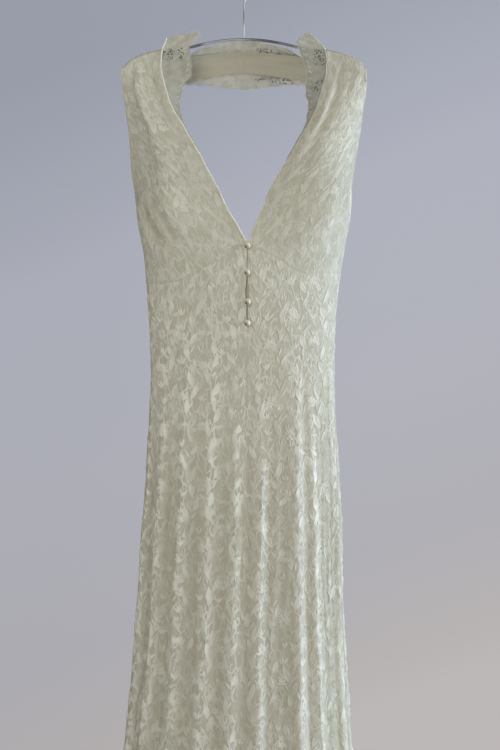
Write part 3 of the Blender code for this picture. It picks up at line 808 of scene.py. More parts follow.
def cloth_material(name, weight, deeper):
    """Fine net with corded lace over a smooth lining, painted darker towards the fold hollows as painted
    shade, its cords painted paler up the folds as painted highlight.

    weight is how bold the lace is, and deeper how much darker the lining is than its own colours.
    """
    s = Shader(name)
    uv = s.place()
    net = s.ramp(s.cells(uv, NET_CELLS), 0.16, 0.05)
    cloudy = s.ramp(s.noise(uv, 34.0, 4.0), 0.3, 0.7)
    cord, sprig = corded(s, uv)
    lining = s.mix(cloudy, *(np.array(LINING) - deeper))
    netted = s.mix(s.math("MULTIPLY", net, 0.4), lining, NET_THREAD)
    # Painted shade: the net goes to the hollow colour low on a fold, and all over on pieces that carry no
    # painted-light share, such as the band and the strip behind the buttons
    netted = s.mix(s.ramp(s.crest(), 0.0, 0.45), HOLLOW_PAINTED_SHADE, netted)
    # Painted highlight: the cords and sprigs are paler up the folds, and also stand higher there in the
    # bump
    raised_and_painted_light = s.math("MULTIPLY_ADD", s.crest(), 0.85, 0.25)
    corded_part = s.math("MULTIPLY", cord, 0.9 * weight)
    worked = s.math("MAXIMUM", corded_part, s.math("MULTIPLY", sprig, 0.7 * weight))
    worked = s.math("MULTIPLY", worked, raised_and_painted_light)
    s.link(s.mix(worked, netted, CORD), "Base Color")
    height = s.math("MULTIPLY", s.math("ADD", cord, s.math("MULTIPLY", sprig, 0.6)), raised_and_painted_light)
    height = s.math("ADD", height, s.math("MULTIPLY", net, 0.15))
    crinkle = s.noise(uv, 160.0, 4.0)
    s.bump(s.math("MULTIPLY_ADD", crinkle, 0.5, height), 0.7 * weight, 0.8 * MM)
    s.link(s.math("MULTIPLY_ADD", worked, -0.22, 0.55), "Roughness")
    s.set(Sheen_Weight=0.15, Sheen_Roughness=0.4)
    return s.material


def motif_material(name, dull, pale, roughness):
    """Corded thread, laid side by side across each leaf, at a random tone: painted highlight makes it pale
    up a fold, and painted shade dull in a hollow.
    """
    s = Shader(name)
    uv = s.place()
    shade = s.ramp(s.noise(s.place("Object"), 45.0, 2.0), 0.32, 0.68)
    # shade mixes the random tone with painted light: pale up a fold as painted highlight, dull in a hollow
    # as painted shade
    shade = s.math("MULTIPLY_ADD", shade, 0.4, s.math("MULTIPLY", s.crest(), 0.7))
    s.link(s.mix(shade, dull, pale), "Base Color")
    inputs = {"Vector": uv, "Scale": 300.0, "Distortion": 1.5, "Detail": 2.0}
    threads = s.node("ShaderNodeTexWave", inputs, bands_direction="Y").outputs["Fac"]
    s.bump(threads, 0.4, 0.25 * MM)
    s.set(Roughness=roughness, Coat_Weight=0.2, Coat_Roughness=0.25)
    return s.material


def within(s, parts, dark):
    """1 inside a stretch of the net and 0 outside it, with soft edges."""
    soft = 6 * MM
    across, down = parts[0], parts[1]
    sides = s.math(
        "MULTIPLY",
        s.ramp(across, dark.across_low, dark.across_low + soft),
        s.ramp(across, dark.across_high, dark.across_high - soft),
    )
    inside = s.math("MULTIPLY", sides, s.ramp(down, dark.down_low, dark.down_low + soft))
    return s.math("MULTIPLY", inside, s.ramp(down, dark.down_high, dark.down_high - soft))


def sheer_material(name, cover, shadow_dot_stretches, opaque_to=-1.0, tone=1.0):
    """Fine net that partly shows what is behind it, with painted shadow as small dark dots in the eyelets
    of some stretches of it.
    """
    s = Shader(name)
    uv = s.place()
    parts = s.node("ShaderNodeSeparateXYZ", {0: uv}).outputs
    net = s.ramp(s.cells(uv, NET_CELLS), 0.20, 0.09)
    inside = within(s, parts, shadow_dot_stretches[0])
    for dark in shadow_dot_stretches[1:]:
        inside = s.math("MAXIMUM", inside, within(s, parts, dark))
    patch = s.ramp(s.noise(uv, 120.0, 2.0), 0.44, 0.52)
    # Painted shadow: dark opaque dots in the eyelets, as if shade showed through them
    painted_shadow_dots = s.ramp(s.cells(uv, SHADOW_DOT_CELLS, "F1"), 0.44, 0.28)
    painted_shadow_dots = s.math("MULTIPLY", s.math("MULTIPLY", painted_shadow_dots, patch), inside)
    cloudy = s.ramp(s.noise(uv, 70.0, 3.0), 0.3, 0.7)
    dull, pale = np.array(SHEER)
    thread = s.mix(cloudy, dull * tone, pale * tone)
    solid = s.ramp(parts[1], opaque_to + 8 * MM, opaque_to)
    thread = s.mix(solid, thread, s.mix(cloudy, 0.76 * dull, 0.86 * pale))
    s.link(s.mix(painted_shadow_dots, thread, EYELET_PAINTED_SHADOW), "Base Color")
    covered = s.math("ADD", s.math("MULTIPLY", net, 0.25), s.math("MULTIPLY_ADD", cloudy, 0.1, cover))
    covered = s.math("ADD", covered, solid)
    s.link(s.math("MINIMUM", s.math("ADD", covered, painted_shadow_dots), 1.0), "Alpha")
    s.bump(net, 0.3, 0.3 * MM)
    s.set(Roughness=0.6, Sheen_Weight=0.1)
    return s.material


def pearl_material():
    s = Shader("pearl")
    cloudy = s.noise(s.place("Object"), 160.0, 2.0)
    facing = s.node("ShaderNodeNewGeometry").outputs["Normal"]
    # Painted reflection: gold over the lower left front, and a dark spot at its middle, by which way the
    # surface faces
    under = s.vector("DOT_PRODUCT", facing, (-0.42, -0.72, -0.55))
    nacre = s.mix(s.ramp(cloudy, 0.35, 0.65), *NACRE)
    with_painted_gold_reflection = s.mix(s.ramp(under, 0.25, 0.85), nacre, NACRE_PAINTED_GOLD_REFLECTION)
    s.link(s.mix(s.ramp(under, 0.93, 0.985), with_painted_gold_reflection, NACRE_PAINTED_DARK_REFLECTION), "Base Color")
    s.bump(cloudy, 0.06, 0.2 * MM)
    s.set(Roughness=0.2, Coat_Weight=1.0, Coat_Roughness=0.08)
    return s.material


def steel_material():
    s = Shader("steel")
    worn = s.noise(s.place("Object"), 220.0, 4.0)
    # Paler steel in large patches at random along the rod and the hook
    pale_patches = s.ramp(s.noise(s.place("Object"), 16.0, 1.0), 0.42, 0.60)
    s.link(s.mix(pale_patches, s.mix(s.ramp(worn, 0.3, 0.7), *STEEL), STEEL_PALE_PATCH), "Base Color")
    s.link(s.ramp(worn, 0.0, 1.0, 0.28, 0.42, "LINEAR"), "Roughness")
    s.set(Metallic=1.0)
    return s.material


def thread_material():
    s = Shader("thread")
    twist = s.noise(s.place("Object"), 900.0, 2.0)
    s.link(s.mix(s.ramp(twist, 0.3, 0.7), *THREAD), "Base Color")
    s.set(Roughness=0.6)
    return s.material


def floor_material():
    s = Shader("floor")
    cloudy = s.noise(s.place("Object"), 1.2, 3.0)
    s.link(s.mix(s.ramp(cloudy, 0.3, 0.7), *FLOOR), "Base Color")
    s.set(Roughness=0.85, Emission_Color=(0.95, 0.94, 0.93, 1), Emission_Strength=0.07)
    return s.material


def make_piece(name, points, faces, material, uvs=None, nodes=(), crests=None):
    """A mesh piece that rides on the gown, and stands for the nodes that it replaces."""
    mesh = bpy.data.meshes.new(name)
    mesh.from_pydata(np.asarray(points).tolist(), [], faces if isinstance(faces, list) else faces.tolist())
    if uvs is not None:
        layer = mesh.uv_layers.new(name="cloth")
        index = np.empty(len(mesh.loops), np.int32)
        mesh.loops.foreach_get("vertex_index", index)
        layer.data.foreach_set("uv", np.asarray(uvs, np.float32)[index].ravel())
    if crests is not None:
        shares = mesh.attributes.new("crest", "FLOAT", "POINT")
        shares.data.foreach_set("value", np.asarray(crests, np.float32).ravel())
    mesh.shade_smooth()
    mesh.materials.append(material)
    made = bpy.data.objects.new(name, mesh)
    bpy.context.scene.collection.objects.link(made)
    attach(made, "root")
    if nodes:
        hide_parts(*nodes)
    return made


def grid_normals(points):
    rows = np.gradient(points, axis=0)
    columns = np.gradient(points, axis=1)
    return unit(np.cross(rows, columns))


def grid_faces(rows, columns, start=0):
    i, j = np.meshgrid(np.arange(rows - 1), np.arange(columns - 1), indexing="ij")
    at = start + i * columns + j
    return np.stack([at, at + 1, at + columns + 1, at + columns], axis=-1).reshape(-1, 4)


def rim_of(rows, columns):
    """The grid's outer loop of point numbers."""
    grid = np.arange(rows * columns).reshape(rows, columns)
    return np.concatenate([grid[0], grid[1:, -1], grid[-1, -2::-1], grid[-2:0:-1, 0]])


def shell(name, points, outward, wall, uvs, material, nodes, crests=None):
    """A thin closed wall under a grid of points. outward points away from its hidden face."""
    rows, columns = points.shape[:2]
    normals = grid_normals(points)
    if np.mean(np.sum(normals * outward, axis=-1)) < 0:
        normals = -normals
    count = rows * columns
    outer = grid_faces(rows, columns)
    inner = grid_faces(rows, columns, count)[:, ::-1]
    rim = rim_of(rows, columns)
    after = np.roll(rim, -1)
    side = np.stack([after, rim, rim + count, after + count], axis=-1)
    faces = np.concatenate([outer, inner, side])
    corners = points.reshape(-1, 3)[outer[len(outer) // 2]]
    facing = np.cross(corners[1] - corners[0], corners[3] - corners[0])
    middle = normals.reshape(-1, 3)[outer[len(outer) // 2][0]]
    if np.dot(facing, middle) < 0:
        faces = faces[:, ::-1]
    both = np.concatenate([points.reshape(-1, 3), (points - normals * wall).reshape(-1, 3)])
    flat = np.concatenate([uvs.reshape(-1, 2)] * 2)
    crests = None if crests is None else np.concatenate([crests.ravel()] * 2)
    made = make_piece(name, both, faces, material, flat, nodes, crests)
    made.data.set_sharp_from_angle(angle=math.radians(50))
    return made


def lines(columns):
    """Even shares from 0 to 1, with extra ones near both ends for the turned edges."""
    inner = np.linspace(EDGE_LINES[-1], 1 - EDGE_LINES[-1], columns)
    return np.concatenate([EDGE_LINES[:-1], inner, 1 - np.array(EDGE_LINES[:-1])[::-1]])


def lengths(points, axis):
    """Distance along the grid from its first line, and to its last."""
    steps = np.linalg.norm(np.diff(points, axis=axis), axis=-1)
    total = np.cumsum(steps, axis=axis)
    pad = [(0, 0), (0, 0)]
    pad[axis] = (1, 0)
    from_first = np.pad(total, pad)
    last = np.take(from_first, [-1], axis=axis)
    return from_first, last - from_first


def turned_edge(distance):
    """A turned and stitched edge: a soft roll, then a stitched groove."""
    roll = 0.45 * MM * bell((distance - 2.2 * MM) / (1.8 * MM))
    return roll - 0.3 * MM * bell((distance - 7 * MM) / (1.2 * MM))


def seamed_edge(distance):
    """A seam draws the cloth in, and its allowance lifts it a little beside that."""
    return 0.32 * MM * bell((distance - 3.6 * MM) / (1.9 * MM))


class Quarter:
    """A quarter of the gown's front or back, below its upper edge."""

    def __init__(self, name, node, side, front):
        self.name, self.node, self.side, self.front = name, node, side, front
        self.centre = 0.0 if front else 180.0
        self.edge = cup_seam if front else back_edge
        self.first, self.last = self.edge, hem
        self.surface = gown
        self.margin = 0.4 * MM
        self.lace_height = LACE_HEIGHT
        self.start = 0.0 if front else BACK_START

    def grid(self):
        across = lines(PANEL_COLUMNS)
        upper = float(self.edge(self.side, np.array([self.centre]))[0])
        rows = np.concatenate([
            upper + np.array(EDGE_ROWS) * MM,
            np.arange(upper + 7 * MM, HEM_DROP - 6 * MM, PANEL_STEP),
            HEM_DROP - np.array(HEM_ROWS) * MM,
        ])
        turn, row = np.meshgrid(self.centre + (90 - self.centre) * across, rows)
        follow = np.maximum(0, 1 - (row - upper) / (LEVEL_DROP - upper))
        drop = row + (self.edge(self.side, turn) - upper) * follow
        inward = 1 if self.front else -1
        slit = along(SLIT, drop / MM, "width") * MM / 2 if self.front else GAP / 2
        slit = np.where(drop > BUTTONED_DROP, SEWN_GAP, slit)
        fade = np.maximum(0, 1 - np.abs(turn - self.centre) / SLIT_FADE_TURN)
        turn = turn + inward * fade * self.degrees(slit, self.centre, drop)
        fade = np.maximum(0, 1 - np.abs(turn - 90) / SLIT_FADE_TURN)
        turn = turn - inward * fade * self.degrees(SEWN_GAP, 90, drop)
        return turn, drop

    def degrees(self, distance, turn, drop):
        """How many degrees a short distance along the cloth is."""
        here = np.full(drop.shape, float(turn))
        span = gown(self.side, here + 0.5, drop) - gown(self.side, here - 0.5, drop)
        return distance / np.linalg.norm(span, axis=-1)

    def relief(self, along_u, to_seam, from_top, to_hem):
        middle = seamed_edge(along_u) * (1 if self.front else 0.8)
        top = seamed_edge(from_top) if self.front else turned_edge(from_top)
        return middle + seamed_edge(to_seam) + top + turned_edge(to_hem)


class Halter:
    """A halter front, from its cup seam up and over the rod."""

    def __init__(self, name, node, side):
        self.name, self.node, self.side = name, node, side
        self.centre = 0.0
        self.first, self.last = wrap_end, cup_seam
        self.surface = halter
        self.margin = 1.2 * MM
        self.lace_height = BODICE_LACE_HEIGHT
        self.start = 0.0

    def grid(self):
        across = lines(PANEL_COLUMNS)
        down = np.concatenate([
            np.linspace(0, 1, 5)[:-1],
            1 + np.linspace(0, 1, 11)[:-1],
            2 + np.linspace(0, 0.975, 62),
            [2.985, 2.993, 3],
        ])
        turn, stage = np.meshgrid(90 * across, down)
        turn = np.clip(turn, 0.07, 89.93)
        top, end, seam = wrap_top(self.side, turn), wrap_end(self.side, turn), cup_seam(self.side, turn)
        behind = end + (top - WRAP_LENGTH - end) * stage
        over = top - WRAP_LENGTH * (2 - stage)
        before = top + (seam - SEWN_GAP - top) * (stage - 2)
        return turn, np.where(stage < 1, behind, np.where(stage < 2, over, before))

    def relief(self, along_u, to_armhole, from_top, to_seam):
        return turned_edge(along_u) + turned_edge(to_armhole) + 2 * seamed_edge(to_seam)


class Lay:
    """The cloth's own flat coordinates on a panel: u along it from the centre line, and the drop."""

    def __init__(self, panel):
        self.panel = panel
        self.low = -75 * MM
        self.step = 10 * MM
        drops = np.arange(self.low, HEM_DROP + 2 * self.step, self.step)
        turns = np.linspace(panel.centre, 90, 91)
        turn, drop = np.meshgrid(turns, drops)
        from_centre, _ = lengths(panel.surface(panel.side, turn, drop), 1)
        self.total = from_centre[:, -1]
        shares = np.linspace(0, 1, 91)
        self.turns = np.stack([np.interp(shares * row[-1], row, turns) for row in from_centre])

    def locate(self, u, drop):
        """The turn at each place, with the place kept on the cloth, and whether it had to be moved."""
        panel = self.panel
        level = np.clip((drop - self.low) / self.step, 0, len(self.total) - 1.001)
        k = level.astype(int)
        t = level - k
        total = self.total[k] * (1 - t) + self.total[k + 1] * t
        slit = panel.margin
        if isinstance(panel, Quarter) and panel.front:
            slit = panel.margin + along(SLIT, drop / MM, "width") * MM / 2
        kept = np.clip(u, slit, total - panel.margin)
        share = kept / total * (self.turns.shape[1] - 1)
        j = np.clip(share.astype(int), 0, self.turns.shape[1] - 2)
        f = share - j
        upper = self.turns[k, j] * (1 - f) + self.turns[k, j + 1] * f
        lower = self.turns[k + 1, j] * (1 - f) + self.turns[k + 1, j + 1] * f
        turn = upper * (1 - t) + lower * t
        high = panel.first(panel.side, turn) + panel.margin
        inside = np.clip(drop, high, panel.last(panel.side, turn) - panel.margin)
        moved = (np.abs(kept - u) > 1e-6) | (np.abs(inside - drop) > 1e-6)
        return turn, inside, moved

    def points(self, u, drop):
        """Points on the cloth, normals out of it, which were moved to its edge, and their painted-light
        shares.
        """
        turn, drop, moved = self.locate(u, drop)
        side, surface = self.panel.side, self.panel.surface
        step_turn, step_drop = 0.4, 0.8 * MM
        here = surface(side, turn, drop)
        across = surface(side, turn + step_turn, drop) - surface(side, turn - step_turn, drop)
        down = surface(side, turn, drop + step_drop) - surface(side, turn, drop - step_drop)
        normal = unit(np.cross(down, across)) * side
        return here, normal, moved, painted_light_share(side, turn, drop)


Motif = namedtuple("Motif", "u drop heading length width bend")
# How a motif is divided along and across, and how high it stands at each place across
Template = namedtuple("Template", "along across rise")
OUTLINED = Template(
    (0, 0.06, 0.18, 0.36, 0.56, 0.76, 0.92, 1),
    (-1, -0.78, -0.5, 0, 0.5, 0.78, 1),
    (0, 1, 0.2, 0.6, 0.2, 1, 0),
)
SOLID = Template((0, 0.1, 0.35, 0.65, 0.9, 1), (-1, -0.35, 0.35, 1), (0, 1, 1, 0))


def vine_sway(vine, drop):
    return VINE_SWAY * np.sin(2 * np.pi * drop / VINE_PERIOD + vine * math.pi)


def vines(width, first, last, seed):
    """Outlined leaves, and solid leaflets and petals. A heading is in degrees from straight down to +u."""
    rng = np.random.default_rng(seed)
    outlined, solid = [], []

    def add(motifs, u, drop, heading, length, width, bend):
        size = 1 + 0.13 * rng.standard_normal()
        tilt = heading + 8 * rng.standard_normal()
        wide = width * (1 + 0.12 * rng.standard_normal())
        motifs.append(Motif(u, drop, tilt, length * size, wide, bend))

    for vine in range(int(width / VINE_PITCH) + 2):
        middle = VINE_PITCH * (vine + 0.5)
        start = first - LEAF_LENGTH * rng.random()
        for number in range(int((last - start) / LEAF_STEP) + 2):
            drop = start + number * LEAF_STEP
            hand = 1 if number % 2 else -1
            u = middle + vine_sway(vine, drop)
            heading = 180 - hand * LEAF_SPLAY
            add(outlined, u + hand * MM, drop, heading, LEAF_LENGTH, LEAF_WIDTH, -hand * 0.16)
        for number in range(int((last - start) / LEAFLET_STEP) + 2):
            drop = start + (number + 0.4) * LEAFLET_STEP
            hand = 1 if number % 2 else -1
            u = middle + vine_sway(vine, drop)
            heading = 180 + hand * LEAFLET_SPLAY
            add(solid, u - hand * MM, drop, heading, LEAFLET_LENGTH, LEAFLET_WIDTH, hand * 0.12)
        for number in range(int((last - start) / (VINE_PERIOD / 2)) + 1):
            drop = start + (number + 0.5) * VINE_PERIOD / 2
            u = middle + (1 if (number + vine) % 2 else -1) * VINE_PITCH / 2
            for spread in PETAL_SPREAD:
                add(solid, u, drop, 180 + spread, PETAL_LENGTH, PETAL_WIDTH, 0.0)
        for number in range(int((last - start) / FAN_STEP) + 1):
            drop = start + (number + 0.5 * (vine % 2)) * FAN_STEP
            u = middle + VINE_PITCH / 2 + 4 * MM * math.sin(2.1 * number + vine)
            for spread in FAN_SPREAD:
                add(solid, u, drop, 180 + spread, FAN_LENGTH, FAN_WIDTH, 0.0)
    return np.array(outlined), np.array(solid)


def leaf_width(t):
    """Half the breadth of a leaf along its length, as a share of its greatest."""
    return np.sin(np.pi * t**0.85) ** 0.8


# Points, faces, flat places on the cloth, normals out of it, and the painted-light share of each point,
# from how far up a fold it is
Mesh = namedtuple("Mesh", "points faces flats normals crests")


def joined(meshes):
    """Several meshes made into one."""
    points, faces, flats, normals, crests = zip(*meshes)
    starts = np.cumsum([0] + [len(place) for place in points[:-1]])
    faces = [face + start for face, start in zip(faces, starts)]
    return Mesh(*(np.concatenate(part) for part in (points, faces, flats, normals, crests)))


def leaf_mesh(motifs, template, locate, height):
    """Motifs laid on cloth. locate gives points, normals, moved flags and painted-light shares for flat
    places.
    """
    u0, drop0, heading, length, width, bend = (column[:, None, None] for column in motifs.T)
    t, s = np.meshgrid(template.along, template.across, indexing="ij")
    wide = np.where((t > 0) & (t < 1), leaf_width(np.clip(t, 1e-3, 1 - 1e-3)), 0.04)
    forward = t * length
    aside = s * wide * width / 2 + bend * length * t * (1 - t)
    a = np.radians(heading)
    u = u0 + forward * np.sin(a) + aside * np.cos(a)
    drop = drop0 + forward * np.cos(a) - aside * np.sin(a)
    points, normals, moved, crests = locate(u, drop)
    keep = ~moved.all(axis=(1, 2))
    rise = LACE_LIFT + height * np.array(template.rise) * np.sin(np.pi * np.clip(t, 0.02, 0.98)) ** 0.4
    rise = np.where((np.abs(s) == 1) | (t == 0) | (t == 1), -LACE_BURY, rise)
    rise = np.where(moved, -LACE_BURY, rise)
    points = (points + normals * rise[..., None])[keep]
    rows, columns = t.shape
    faces = grid_faces(rows, columns)
    starts = np.arange(len(points)) * rows * columns
    faces = (faces[None] + starts[:, None, None]).reshape(-1, 4)
    flat = stack(aside, forward + 0 * s, 0)[keep][..., :2]
    flat = flat + np.arange(len(points))[:, None, None, None] * 0.013
    return Mesh(
        points.reshape(-1, 3),
        faces,
        flat.reshape(-1, 2),
        normals[keep].reshape(-1, 3),
        crests[keep].ravel(),
    )


def stem_mesh(lay, width, first, last):
    """The vines' wavy stems, as low ridges."""
    across = np.array([-1.0, 0.0, 1.0])
    drop = np.arange(first, last, 5 * MM)
    quads = grid_faces(len(drop), 3)
    stems = []
    for vine in range(int(width / VINE_PITCH) + 2):
        u = VINE_PITCH * (vine + 0.5) + vine_sway(vine, drop)
        wide = across * STEM_WIDTH / 2
        place, normal, moved, crest = lay.points(u[:, None] + wide, drop[:, None] + 0 * across)
        rise = np.where(np.abs(across) == 1, -LACE_BURY, LACE_LIFT + 0.3 * MM) * np.ones(place.shape[:2])
        rise = np.where(moved, -LACE_BURY, rise)
        on_cloth = ~moved.reshape(-1)[quads].all(axis=1)
        points = (place + normal * rise[..., None]).reshape(-1, 3)
        flats = stack(wide, drop[:, None], 0)[..., :2].reshape(-1, 2)
        stems.append(Mesh(points, quads[on_cloth], flats, normal.reshape(-1, 3), crest.ravel()))
    return joined(stems)


def turn_outward(points, faces, normals):
    """The faces, each with its corners in the order that makes it face along the cloth's normal."""
    corner = points[faces]
    facing = np.cross(corner[:, 2] - corner[:, 0], corner[:, 3] - corner[:, 1])
    wrong = np.sum(facing * normals[faces[:, 0]], axis=1) < 0
    faces = faces.copy()
    faces[wrong] = faces[wrong][:, ::-1]
    return faces[np.linalg.norm(facing, axis=1) > 1e-11]


def lace_piece(name, parts, material):
    mesh = joined(parts)
    faces = turn_outward(mesh.points, mesh.faces, mesh.normals)
    used, faces = np.unique(faces, return_inverse=True)
    faces = faces.reshape(-1, 4)
    points, flats, crests = mesh.points[used], mesh.flats[used], mesh.crests[used]
    return make_piece(name, points, faces, material, flats, (), crests)


def dress_panel(panel, cloth, motif, seed):
    turn, drop = panel.grid()
    points = panel.surface(panel.side, turn, drop)
    normals = grid_normals(points)
    outward = stack(points[..., 0] * 0.4, points[..., 1], 0)
    if isinstance(panel, Halter):
        level = CROWN_Z - wrap_top(panel.side, turn)
        above = np.maximum(points[..., 2] - level, 0)
        outward = stack(points[..., 0] * 0.05, points[..., 1] - 0.02, above)
    if np.mean(np.sum(normals * outward, axis=-1)) < 0:
        normals = -normals
    from_centre, to_seam = lengths(points, 1)
    from_top, to_last = lengths(points, 0)
    relief = panel.relief(from_centre, to_seam, from_top, to_last)
    fine = points + normals * relief[..., None]
    uvs = stack(panel.start + panel.side * from_centre, drop, 0)[..., :2]
    # How much painted light and shade each place gets, from how far up a fold it is
    crests = painted_light_share(panel.side, turn, drop)
    made = shell(panel.name, fine, normals, CLOTH_WALL, uvs, cloth, [panel.node], crests)
    lay = Lay(panel)
    width = float(from_centre.max())
    first, last = float(drop.min()), float(drop.max())
    outlined, solid = vines(width, first, last, seed)
    leaves = leaf_mesh(outlined, OUTLINED, lay.points, panel.lace_height)
    leaflets = leaf_mesh(solid, SOLID, lay.points, panel.lace_height)
    stems = stem_mesh(lay, width, first, last)
    lace = lace_piece(panel.name + "_lace", [leaves, leaflets, stems], motif)
    return made, lace


def tubes(name, paths, radius, sides, material, nodes=(), crest=0.5):
    """Closed round tubes along paths, as one piece."""
    points, faces, count = [], [], 0
    turn = 2 * np.pi * np.arange(sides) / sides
    for path in paths:
        path = np.asarray(path, float)
        ahead = unit(np.gradient(path, axis=0))
        level, forward = np.array([[1.0, 0, 0]]), np.array([[0, 1.0, 0]])
        helper = np.where(np.abs(ahead[:, 1:2]) > 0.9, level, forward)
        across = unit(np.cross(ahead, helper))
        up = np.cross(across, ahead)
        around = across[:, None] * np.cos(turn)[:, None] + up[:, None] * np.sin(turn)[:, None]
        points.append((path[:, None] + radius * around).reshape(-1, 3))
        i, k = np.meshgrid(np.arange(len(path) - 1), np.arange(sides), indexing="ij")
        a, b = count + i * sides + k, count + i * sides + (k + 1) % sides
        faces.extend(np.stack([a, b, b + sides, a + sides], axis=-1).reshape(-1, 4).tolist())
        last = count + (len(path) - 1) * sides
        faces.append([count + k for k in range(sides - 1, -1, -1)])
        faces.append([last + k for k in range(sides)])
        count += len(path) * sides
    # crest is the painted-light share that the tubes carry for their material
    points, crests = np.concatenate(points), np.full(count, crest)
    made = make_piece(name, points, faces, material, None, nodes, crests)
    if sides > 6:
        made.data.set_sharp_from_angle(angle=math.radians(50))
    return made


def hanger(steel):
    reach = ROD[-1].across * MM
    x = np.linspace(-reach, reach, 121)
    rod = stack(x, 0, CROWN_Z - rod_drop(x))
    tubes("hanger_rod_round", [rod], ROD_RADIUS, 20, steel, ["hanger_rod"])
    radius = HOOK_INSIDE_RADIUS + HOOK_WIRE_RADIUS
    foot = [(0, 0, CROWN_Z + ROD_RADIUS + GAP)]
    stem = foot + [(p.across * MM, 0, p.up * MM) for p in HOOK_STEM]
    turn = np.radians(np.linspace(HOOK_START_ANGLE, HOOK_END_ANGLE, 49))
    arc = stack(radius * np.cos(turn), 0, radius * np.sin(turn) - HOOK_INSIDE_RADIUS)
    corners = np.concatenate([np.array(stem), arc])
    tubes("hanger_hook_round", [corners], HOOK_WIRE_RADIUS, 14, steel, ["hanger_hook"])


def pearls(pearl, thread):
    """Four round buttons, each with its shank and the thread loop that holds it."""
    rings, segments = 18, 28
    round_once = np.linspace(0, 2 * np.pi, segments + 1)
    polar, turn = np.meshgrid(np.linspace(0.02, np.pi - 0.02, rings), round_once)
    for number in range(1, 5):
        low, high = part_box(f"pearl_button_{number}")
        middle = np.array((low + high) / 2)
        radius = (high.z - low.z) / 2
        uneven = 1 + 0.012 * np.sin(3 * polar + number) * np.sin(2 * turn + 2 * number)
        ball = stack(np.sin(polar) * np.cos(turn), np.cos(polar), np.sin(polar) * np.sin(turn))
        points = middle + radius * ball * uneven[..., None]
        faces = grid_faces(*points.shape[:2])
        out = ball.reshape(-1, 3)
        faces = turn_outward(points.reshape(-1, 3), faces, out)
        name = f"pearl_{number}"
        make_piece(name, points.reshape(-1, 3), faces, pearl, None, [f"pearl_button_{number}"])
        a = np.linspace(0, 2 * np.pi, 33)
        loop = middle + stack(0.0022 + 0.0046 * np.cos(a), 0.0028 + 0 * a, 0.0038 * np.sin(a))
        tubes(f"button_loop_{number}", [loop], LOOP_RADIUS, 6, thread)


class Net:
    """A sheer edging's grid of points, measured across it and along its free edge."""

    def __init__(self, surface, firsts):
        first, share = np.meshgrid(firsts, np.linspace(0, 1, EDGING_COLUMNS), indexing="ij")
        self.points = surface(first, share)
        self.normals = grid_normals(self.points)
        if np.mean(self.normals @ np.array([0, -1.0, 0])) < 0:
            self.normals = -self.normals
        across, _ = lengths(self.points, 1)
        down, _ = lengths(self.points, 0)
        self.uvs = stack(across, down[:, :1] + 0 * across, 0)[..., :2]
        self.width, self.place = across[:, -1], down[:, -1]

    def locate(self, u, along_edge):
        """Flat places to the net: u is the distance in from the free edge."""
        level = np.interp(along_edge, self.place, np.arange(len(self.place)))
        k = np.clip(level.astype(int), 0, len(self.place) - 2)
        t = (level - k)[..., None]
        wide = np.interp(along_edge, self.place, self.width)
        share = np.clip(1 - u / np.maximum(wide, MM), 0.02, 0.995) * (EDGING_COLUMNS - 1)
        j = np.clip(share.astype(int), 0, EDGING_COLUMNS - 2)
        f = (share - j)[..., None]

        def blend(grid):
            near = grid[k, j] * (1 - f) + grid[k, j + 1] * f
            far = grid[k + 1, j] * (1 - f) + grid[k + 1, j + 1] * f
            return near * (1 - t) + far * t

        beyond = (along_edge < self.place[0]) | (along_edge > self.place[-1])
        moved = (u > wide * 0.97) | (u < 0) | beyond
        return blend(self.points), unit(blend(self.normals)), moved, np.full(u.shape, 0.5)


def net_piece(name, node, net, look):
    return shell(name, net.points, net.normals, SHEER_WALL, net.uvs, look, [node])


def edge_leaves(net, rng):
    """Small leaves along a net's free edge, where it is wide enough."""
    motifs = []
    for spot in np.arange(6 * MM, net.place[-1], SCALLOP_PITCH * 0.6):
        if np.interp(spot, net.place, net.width) > LEAFY_WIDTH:
            tilt = 60 + 15 * rng.standard_normal()
            motifs.append(Motif(SMALL_LEAF_IN, spot, tilt, SMALL_LEAF_LENGTH, SMALL_LEAF_WIDTH, 0.1))
    return leaf_mesh(np.array(motifs), SOLID, net.locate, 0.3 * MM)


def edge_loops(net, rng):
    """The small loops of thread that finish a net's free edge."""
    edge = net.points[:, -1]
    away = unit(net.points[:, -1] - net.points[:, -2])
    ahead = unit(np.gradient(edge, axis=0))
    a = np.linspace(-0.25 * np.pi, 1.25 * np.pi, 7)
    loops = []
    for spot in np.arange(1.6 * MM, net.place[-1], PICOT_PITCH):
        k = int(np.clip(np.searchsorted(net.place, spot), 1, len(net.place) - 1))
        long = (1.0 + 1.4 * rng.random()) * MM
        outward = away[k] * (long * (0.4 + 0.6 * np.sin(a)))[:, None]
        loops.append(edge[k] + outward + ahead[k] * (PICOT_PITCH * 0.36 * np.cos(a))[:, None])
    return loops


def band(name, node, side, cloth):
    reaches = np.concatenate([np.linspace(0, 0.99, 60), [0.994, 0.9992]])
    middle = np.linspace(0.14, 0.86, 14)
    shares = np.concatenate([[0.01, 0.03, 0.06, 0.1], middle, [0.9, 0.94, 0.97, 0.99]])
    reach, share = np.meshgrid(reaches, shares, indexing="ij")
    points = band_point(side, share, reach)
    normals = grid_normals(points)
    if np.mean(normals[..., 1]) > 0:
        normals = -normals
    from_end, to_middle = lengths(points, 0)
    from_top, to_low = lengths(points, 1)
    pressed = 0.5 * MM * bell((to_middle - 2.6 * MM) / (1.8 * MM)) if side < 0 else 0
    fold = 0.8 * MM * np.sin(5.5 * share + 4 * reach) + 0.5 * MM * np.sin(13 * share - 3 * reach)
    relief = turned_edge(from_top) + turned_edge(to_low) + fold * np.sin(np.pi * share) + pressed
    points = points + normals * relief[..., None]
    uvs = stack(from_end, from_top, 0)[..., :2]
    return shell(name, points, normals, CLOTH_WALL, uvs, cloth, [node])


